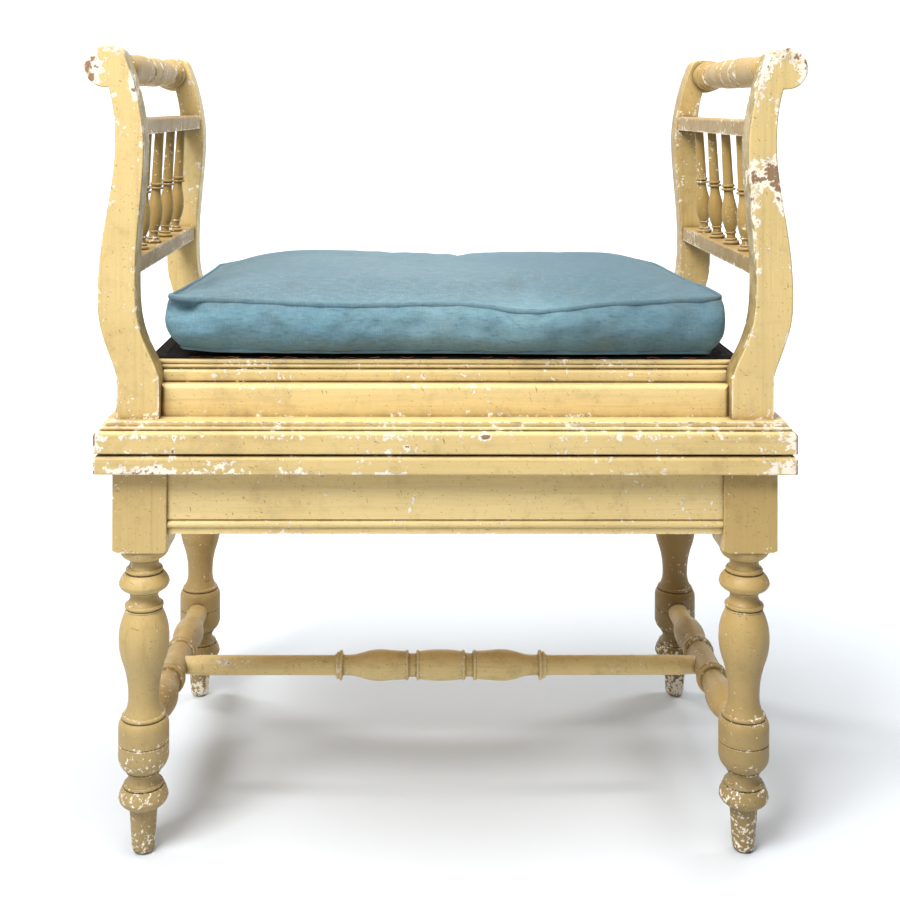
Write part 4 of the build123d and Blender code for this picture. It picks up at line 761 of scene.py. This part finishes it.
def tube_along(name, path, half_width, half_thickness, sides=10, closed=True):
    """An oval tube through a list of points, built ring by ring."""
    shape = bmesh.new()
    count = len(path)
    rings = []
    for number, point in enumerate(path):
        before = path[(number - 1) % count] if closed else path[max(number - 1, 0)]
        after = path[(number + 1) % count] if closed else path[min(number + 1, count - 1)]
        ahead = (after - before).normalized()
        sideways = ahead.cross(Vector((0, 0, 1))).normalized()
        upward = sideways.cross(ahead)
        ring = []
        for side in range(sides):
            angle = 2 * math.pi * side / sides
            offset = half_thickness * math.cos(angle) * sideways + half_width * math.sin(angle) * upward
            ring.append(shape.verts.new(point + offset))
        rings.append(ring)
    last = count if closed else count - 1
    for number in range(last):
        one, two = rings[number], rings[(number + 1) % count]
        for side in range(sides):
            after = (side + 1) % sides
            shape.faces.new((one[side], two[side], two[after], one[after]))
    if not closed:
        shape.faces.new(rings[0])
        shape.faces.new(reversed(rings[-1]))
    bmesh.ops.recalc_face_normals(shape, faces=shape.faces)
    mesh = bpy.data.meshes.new(name)
    shape.to_mesh(mesh)
    shape.free()
    for polygon in mesh.polygons:
        polygon.use_smooth = True
    piece = bpy.data.objects.new(name, mesh)
    bpy.context.collection.objects.link(piece)
    return piece


def seam_path(points, outward, upward):
    """The seam's points, smoothed along its length and moved out of the cover a little."""
    count = len(points)
    for _ in range(2):
        points = [
            points[n] * 0.5 + (points[n - 1] + points[(n + 1) % count]) * 0.25 for n in range(count)
        ]
    path = []
    for n in range(count):
        ahead = (points[(n + 1) % count] - points[n - 1]).normalized()
        path.append(points[n] + ahead.cross(Vector((0, 0, 1))) * outward + Vector((0, 0, upward)))
    return path


top_welt = tube_along(
    "cushion_welt_top", seam_path(seams[0], 0.9 * MM, -0.9 * MM), WELT_HALF_WIDTH, WELT_HALF_THICKNESS
)
bottom_welt = tube_along(
    "cushion_welt_bottom", seam_path(seams[1], 0.5 * MM, 0.8 * MM), WELT_HALF_WIDTH * 0.8, WELT_HALF_THICKNESS
)
print("welts of", len(seams[0]), "rings each")

# %% [markdown]
# ## Blue furnishing cotton
#
# The cover is a plain woven cotton with slubs: threads that swell here and there, so the cloth looks
# brushed lengthwise. Two sets of stretched noise, one along the weft and one along the warp, stand
# for them. Real threads are 0.5 mm apart; they are drawn at 0.9 mm so that they show. The dye has
# faded to a dusty grey blue on top. The right end and the bottom edge are painted darker, as painted
# shade, and use has left brownish stains on the front and the right end.

# %% Cotton
THREAD = 0.9 * MM
NAP = (9 * MM, 3.5 * MM)
STAINED_PLACES = [
    ((0.135, -0.170, 0.480), (0.08, 0.03, 0.03), 0.11),
    ((0.22, 0.1, 0.508), (0.05, 0.07, 0.03), 0.16),
]


def slubbed_cotton():
    material, tree, output = new_material("slubbed_blue_cotton")
    place = add(tree, "TexCoord").outputs["Object"]
    weft_map = add(tree, "Mapping", {"Vector": place, "Scale": (1 / (14 * MM), 1 / THREAD, 1 / THREAD)})
    warp_map = add(tree, "Mapping", {"Vector": place, "Scale": (1 / THREAD, 1 / (9 * MM), 1 / (9 * MM))})
    weft = add(tree, "TexNoise", {"Vector": weft_map, "Scale": 1, "Detail": 3, "Roughness": 0.7})
    warp = add(tree, "TexNoise", {"Vector": warp_map, "Scale": 1, "Detail": 2, "Roughness": 0.6})
    nap_map = add(tree, "Mapping", {"Vector": place, "Scale": (1 / NAP[0], 1 / NAP[1], 1 / NAP[1])})
    nap = add(tree, "TexNoise", {"Vector": nap_map, "Scale": 1, "Detail": 4, "Roughness": 0.65})
    clouds = add(tree, "TexNoise", {"Vector": place, "Scale": 9, "Detail": 4, "Roughness": 0.6})
    stains = add(tree, "TexNoise", {"Vector": place, "Scale": 28, "Detail": 6, "Roughness": 0.65})
    height = add(tree, "SeparateXYZ", [place]).outputs["Z"]
    # Painted shade along the bottom edge; it also adds a little soil there.
    low_edge_shade_and_soil = add(tree, "MapRange", [height, SEAT_Z + 22 * MM, SEAT_Z + 3 * MM, 0, 1], **SOFTLY)
    faded = add(tree, "MapRange", [height, SEAT_Z + 40 * MM, SEAT_Z + 60 * MM, 0, 0.7], **SOFTLY)
    # Painted shade: the cloth is darker towards the right end.
    across = add(tree, "SeparateXYZ", [place]).outputs["X"]
    right_end_shade = add(tree, "MapRange", [across, 20 * MM, 170 * MM, 0, 0.36], **SOFTLY)
    soil = add(tree, "Math", [stains, add(tree, "Math", [low_edge_shade_and_soil, 0.1], **TIMES)], **PLUS)
    for centre, radii, amount in STAINED_PLACES:
        away = distance_from(tree, place, centre, radii)
        spilt = add(tree, "MapRange", [away, 1, 0.3, 0, amount], **SOFTLY)
        soil = add(tree, "Math", [soil, spilt], **PLUS)

    cloth = paint_chip("#648793")
    layers = [
        ("#78979E", add(tree, "MapRange", [clouds, 0.35, 0.65, 0, 1], **SOFTLY)),
        ("#5E6C71", faded),
        ("#46687A", add(tree, "MapRange", [weft, 0.45, 0.8, 0, 0.5], **SOFTLY)),
        ("#4E6C77", add(tree, "MapRange", [nap, 0.5, 0.72, 0, 0.6], **SOFTLY)),
        ("#8CA2A8", add(tree, "MapRange", [nap, 0.5, 0.25, 0, 0.3], **SOFTLY)),
        ("#A2B6BA", add(tree, "MapRange", [warp, 0.5, 0.85, 0, 0.25], **SOFTLY)),
        ("#3D515B", add(tree, "Math", [low_edge_shade_and_soil, 0.5], **TIMES)),
        ("#3A5968", right_end_shade),
        ("#5C6052", add(tree, "MapRange", [soil, 0.52, 0.85, 0, 0.5], **SOFTLY)),
    ]
    for thread_colour, amount in layers:
        cloth = add(tree, "Mix", [amount, cloth, paint_chip(thread_colour)], **COLOURS)

    threads = add(tree, "Math", [weft, 0.4 * MM], **TIMES)
    threads = add(tree, "Math", [threads, add(tree, "Math", [warp, 0.3 * MM], **TIMES)], **PLUS)
    bump = add(tree, "Bump", {"Height": threads, "Distance": 1.0, "Strength": 0.8})
    rough = add(tree, "MapRange", [weft, 0.3, 0.7, 0.85, 0.95], **SOFTLY)
    surface = add(
        tree,
        "BsdfPrincipled",
        {
            "Base Color": cloth,
            "Roughness": rough,
            "Normal": bump,
            "Specular IOR Level": 0.2,
            "Sheen Weight": 0.15,
            "Sheen Roughness": 0.5,
            "Sheen Tint": paint_chip("#C9DCE4"),
        },
    )
    tree.links.new(surface.outputs[0], output.inputs[0])
    return material


cotton = slubbed_cotton()
for piece in (cushion, top_welt, bottom_welt):
    piece.data.materials.clear()
    piece.data.materials.append(cotton)
    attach(piece, "cushion")
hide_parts("seat_cushion")
print("cushion stands from", round(SEAT_Z * 1000, 1), "mm")

# %% [markdown]
# ## The upholstered seat
#
# Under the cushion is the bench's own seat: thin stuffing on a board, covered in dark cloth that is
# drawn over the frame, with a woven trim tacked on round the edge. Only its rim shows. The pad is a
# low slab with a rolled edge, laid down ring by ring from the rim to the middle.

# %% Seat pad and trim
EDGE_ROLL = 2.4 * MM
TRIM_WIDTH = 9 * MM
TRIM_INSET = 5 * MM


def rounded_frame(half_x, half_y, radius, z):
    """Points round a rectangle with rounded corners."""
    points, steps = [], 6
    for corner, (sign_x, sign_y) in enumerate(((1, 1), (-1, 1), (-1, -1), (1, -1))):
        for step in range(steps + 1):
            angle = math.pi / 2 * (corner + step / steps)
            x = sign_x * (half_x - radius) + radius * math.cos(angle)
            y = sign_y * (half_y - radius) + radius * math.sin(angle)
            points.append(Vector((x, y, z)))
    return points


def nested_rings(name, rings, cap=True):
    """A surface through a list of rings with the same number of points each."""
    shape = bmesh.new()
    made = [[shape.verts.new(point) for point in ring] for ring in rings]
    count = len(rings[0])
    for one, two in zip(made, made[1:]):
        for place in range(count):
            after = (place + 1) % count
            shape.faces.new((one[place], one[after], two[after], two[place]))
    if cap:
        shape.faces.new(made[-1])
        shape.faces.new(reversed(made[0]))
    else:
        for place in range(count):
            after = (place + 1) % count
            shape.faces.new((made[-1][place], made[-1][after], made[0][after], made[0][place]))
    bmesh.ops.recalc_face_normals(shape, faces=shape.faces)
    mesh = bpy.data.meshes.new(name)
    shape.to_mesh(mesh)
    shape.free()
    for polygon in mesh.polygons:
        polygon.use_smooth = True
    piece = bpy.data.objects.new(name, mesh)
    bpy.context.collection.objects.link(piece)
    return piece


half_x, half_y, pad_top = pad_high.x, pad_high.y, pad_high.z
pad_rings = [rounded_frame(half_x - 9 * MM, half_y - 9 * MM, 3 * MM, pad_low.z)]
pad_rings.append(rounded_frame(half_x - 9 * MM, half_y - 9 * MM, 3 * MM, pad_top - 2 * MM))
for step in range(9):
    turn = math.pi * step / 8 - math.pi / 2
    out = EDGE_ROLL * math.cos(turn) - EDGE_ROLL
    up = EDGE_ROLL * 0.55 * math.sin(turn)
    level = pad_top - EDGE_ROLL * 0.55
    pad_rings.append(rounded_frame(half_x + out, half_y + out, 7 * MM, level + up))
pad_rings.append(rounded_frame(half_x - 12 * MM, half_y - 12 * MM, 3 * MM, pad_top))
pad = nested_rings("seat_upholstery", pad_rings)

trim_rings = []
for inset, height in ((0, 0), (1, 1), (4.5, 1.3), (8, 1), (TRIM_WIDTH / MM, 0)):
    edge = TRIM_INSET + inset * MM
    trim_rings.append(rounded_frame(half_x - edge, half_y - edge, 4 * MM, pad_top + height * 0.2 * MM))
trim = nested_rings("seat_trim", trim_rings, cap=False)
print("pad of", len(pad_rings), "rings, trim", TRIM_WIDTH / MM, "mm wide")


# %% [markdown]
# The seat cloth is nearly black with age. What light it gives back comes from its worn ribs, so it
# has a fine cross rib and rubbed, browner patches.

# %% Dark seat cloth
def worn_seat_cloth(name, dark, worn, rib):
    material, tree, output = new_material(name)
    place = add(tree, "TexCoord").outputs["Object"]
    ribs = add(tree, "Mapping", {"Vector": place, "Scale": (1 / rib, 1 / rib, 1 / (8 * MM))})
    weave = add(tree, "TexNoise", {"Vector": ribs, "Scale": 1, "Detail": 2})
    rubbed = add(tree, "TexNoise", {"Vector": place, "Scale": 70, "Detail": 5, "Roughness": 0.7})
    bald = add(tree, "MapRange", [rubbed, 0.48, 0.75, 0, 1], **SOFTLY)
    colour = add(tree, "Mix", [bald, paint_chip(dark), paint_chip(worn)], **COLOURS)
    bump = add(tree, "Bump", {"Height": weave, "Distance": 0.5 * MM, "Strength": 0.8})
    surface = add(
        tree,
        "BsdfPrincipled",
        {"Base Color": colour, "Roughness": 0.9, "Normal": bump, "Specular IOR Level": 0.2},
    )
    tree.links.new(surface.outputs[0], output.inputs[0])
    return material


seat_cloth = worn_seat_cloth("worn_seat_cloth", "#120E0B", "#2E231A", 1.2 * MM)
trim_cloth = worn_seat_cloth("woven_trim", "#1C1511", "#4E3A29", 0.9 * MM)
for piece, material in ((pad, seat_cloth), (trim, trim_cloth)):
    piece.data.materials.append(material)
    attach(piece, "lid")
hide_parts("seat_pad")

# %% [markdown]
# Where the seat cloth is turned over the front rail its edge has frayed, and rust-red threads stand
# out of it. Each is a hair-thin tube that wanders along the edge; at 0.7 mm they are drawn twice as
# thick as real ones, so that they show.

# %% Frayed threads
THREAD_RADIUS = 0.35 * MM
frayed_cotton = worn_seat_cloth("frayed_red_cotton", "#7A3A24", "#A8653F", 0.5 * MM)
THREAD_STARTS = (-236, -214, -201, -171, -150, -128, -96, -70, -41, -12, 33, 58, 104, 139, 187, 221)
for number, start in enumerate(THREAD_STARTS):
    length = 9 + 11 * abs(noise.noise(Vector((number * 1.7, 0.3, 0))))
    path = []
    for step in range(9):
        share = step / 8
        wander = noise.noise(Vector((number * 3.1, share * 2.2, 0.5)))
        rise = abs(noise.noise(Vector((number * 2.3, 4.0, share * 1.6))))
        y = -half_y / MM - 0.6 + 2.0 * wander
        path.append(Vector((start + length * share, y, pad_top / MM - 0.9 + 1.6 * rise)) * MM)
    name = f"frayed_thread_{number + 1:02d}"
    thread = tube_along(name, path, THREAD_RADIUS, THREAD_RADIUS, 6, closed=False)
    thread.data.materials.append(frayed_cotton)
    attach(thread, "lid")
print("laid", len(THREAD_STARTS), "frayed threads")

# %% [markdown]
# ## Floor, light and camera
#
# A pale paper sweep: the floor curves up into a wall far behind, so there is no horizon. It is grey
# enough to keep a shadow and light enough to burn out to white where the lamps reach it fully.

# %% Floor and wall
SWEEP_WIDTH, SWEEP_FRONT, SWEEP_BACK, SWEEP_BEND, SWEEP_TOP = 9.0, -5.0, 4.0, 1.6, 5.0


def sweep():
    shape = bmesh.new()
    outline = [(SWEEP_FRONT, 0.0), (SWEEP_BACK - SWEEP_BEND, 0.0)]
    for step in range(1, 13):
        angle = math.pi / 2 * step / 12
        outline.append(
            (SWEEP_BACK - SWEEP_BEND + SWEEP_BEND * math.sin(angle), SWEEP_BEND * (1 - math.cos(angle)))
        )
    outline.append((SWEEP_BACK, SWEEP_TOP))
    rows = [
        [shape.verts.new((side * SWEEP_WIDTH / 2, y, z)) for side in (-1, 1)] for y, z in outline
    ]
    for one, two in zip(rows, rows[1:]):
        shape.faces.new((one[0], one[1], two[1], two[0]))
    mesh = bpy.data.meshes.new("sweep")
    shape.to_mesh(mesh)
    shape.free()
    for polygon in mesh.polygons:
        polygon.use_smooth = True
    piece = bpy.data.objects.new("sweep", mesh)
    bpy.context.collection.objects.link(piece)
    material, tree, output = new_material("white_paper_sweep")
    surface = add(tree, "BsdfPrincipled", {"Base Color": paint_chip("#D0D4D8"), "Roughness": 0.95})
    tree.links.new(surface.outputs[0], output.inputs[0])
    mesh.materials.append(material)


sweep()
print("sweep", SWEEP_WIDTH, "m wide, wall", SWEEP_BACK, "m behind")

# %% [markdown]
# One broad lamp in front and to the left models the turnings, a wide one overhead lights the floor,
# two more light the wall, and a faint sky fills the shadows. Large lamps give soft edges to the
# shadows, as a studio's diffusers do.


# %% Lamps and sky
def soft_lamp(name, place, aim, size, power):
    """A rectangular lamp that faces a point."""
    light = bpy.data.lights.new(name, "AREA")
    light.shape = "RECTANGLE"
    light.size, light.size_y = size
    light.energy = power
    lamp = bpy.data.objects.new(name, light)
    lamp.location = place
    lamp.rotation_euler = (Vector(aim) - Vector(place)).to_track_quat("-Z", "Y").to_euler()
    bpy.context.collection.objects.link(lamp)


# Each lamp: its place, its aim and its size in metres, and its power in watts.
LAMPS = {
    "key": ((-0.95, -1.48, 2.28), (0, 0, 0.3), (1.1, 1.1), 80),
    "overhead": ((0.1, -0.5, 2.9), (0, 0, 0.3), (1.4, 1.2), 54),
    "wall_left": ((-1.7, 1.2, 2.4), (-0.9, 4.0, 0.6), (1.2, 1.2), 122),
    "wall_right": ((1.7, 1.2, 2.4), (0.9, 4.0, 0.6), (1.2, 1.2), 122),
}
for name, settings in LAMPS.items():
    soft_lamp(name, *settings)
world = bpy.data.worlds.new("studio")
world.use_nodes = True
background = world.node_tree.nodes["Background"]
background.inputs["Color"].default_value = paint_chip("#F2F7FF")
background.inputs["Strength"].default_value = 0.14
bpy.context.scene.world = world
bpy.context.scene.view_settings.view_transform = "Standard"
print("lamps:", list(LAMPS))

# %% [markdown]
# The camera stands at sitting height in front of the bench, level. Its 53 mm lens is shifted
# sideways and down instead of being tilted, which keeps the uprights upright.

# %% Camera
camera_data = bpy.data.cameras.new("camera")
camera_data.sensor_width = 36
camera_data.lens = 53.248
camera_data.shift_x = 0.02678
camera_data.shift_y = -0.38622
camera = bpy.data.objects.new("camera", camera_data)
camera.location = (-0.0303, -1.3876, 0.6853)
camera.rotation_euler = [math.radians(turn) for turn in (90.097, -0.186, -0.535)]
bpy.context.collection.objects.link(camera)
bpy.context.scene.camera = camera
print("camera stands", round(-camera.location.y, 2), "m in front")
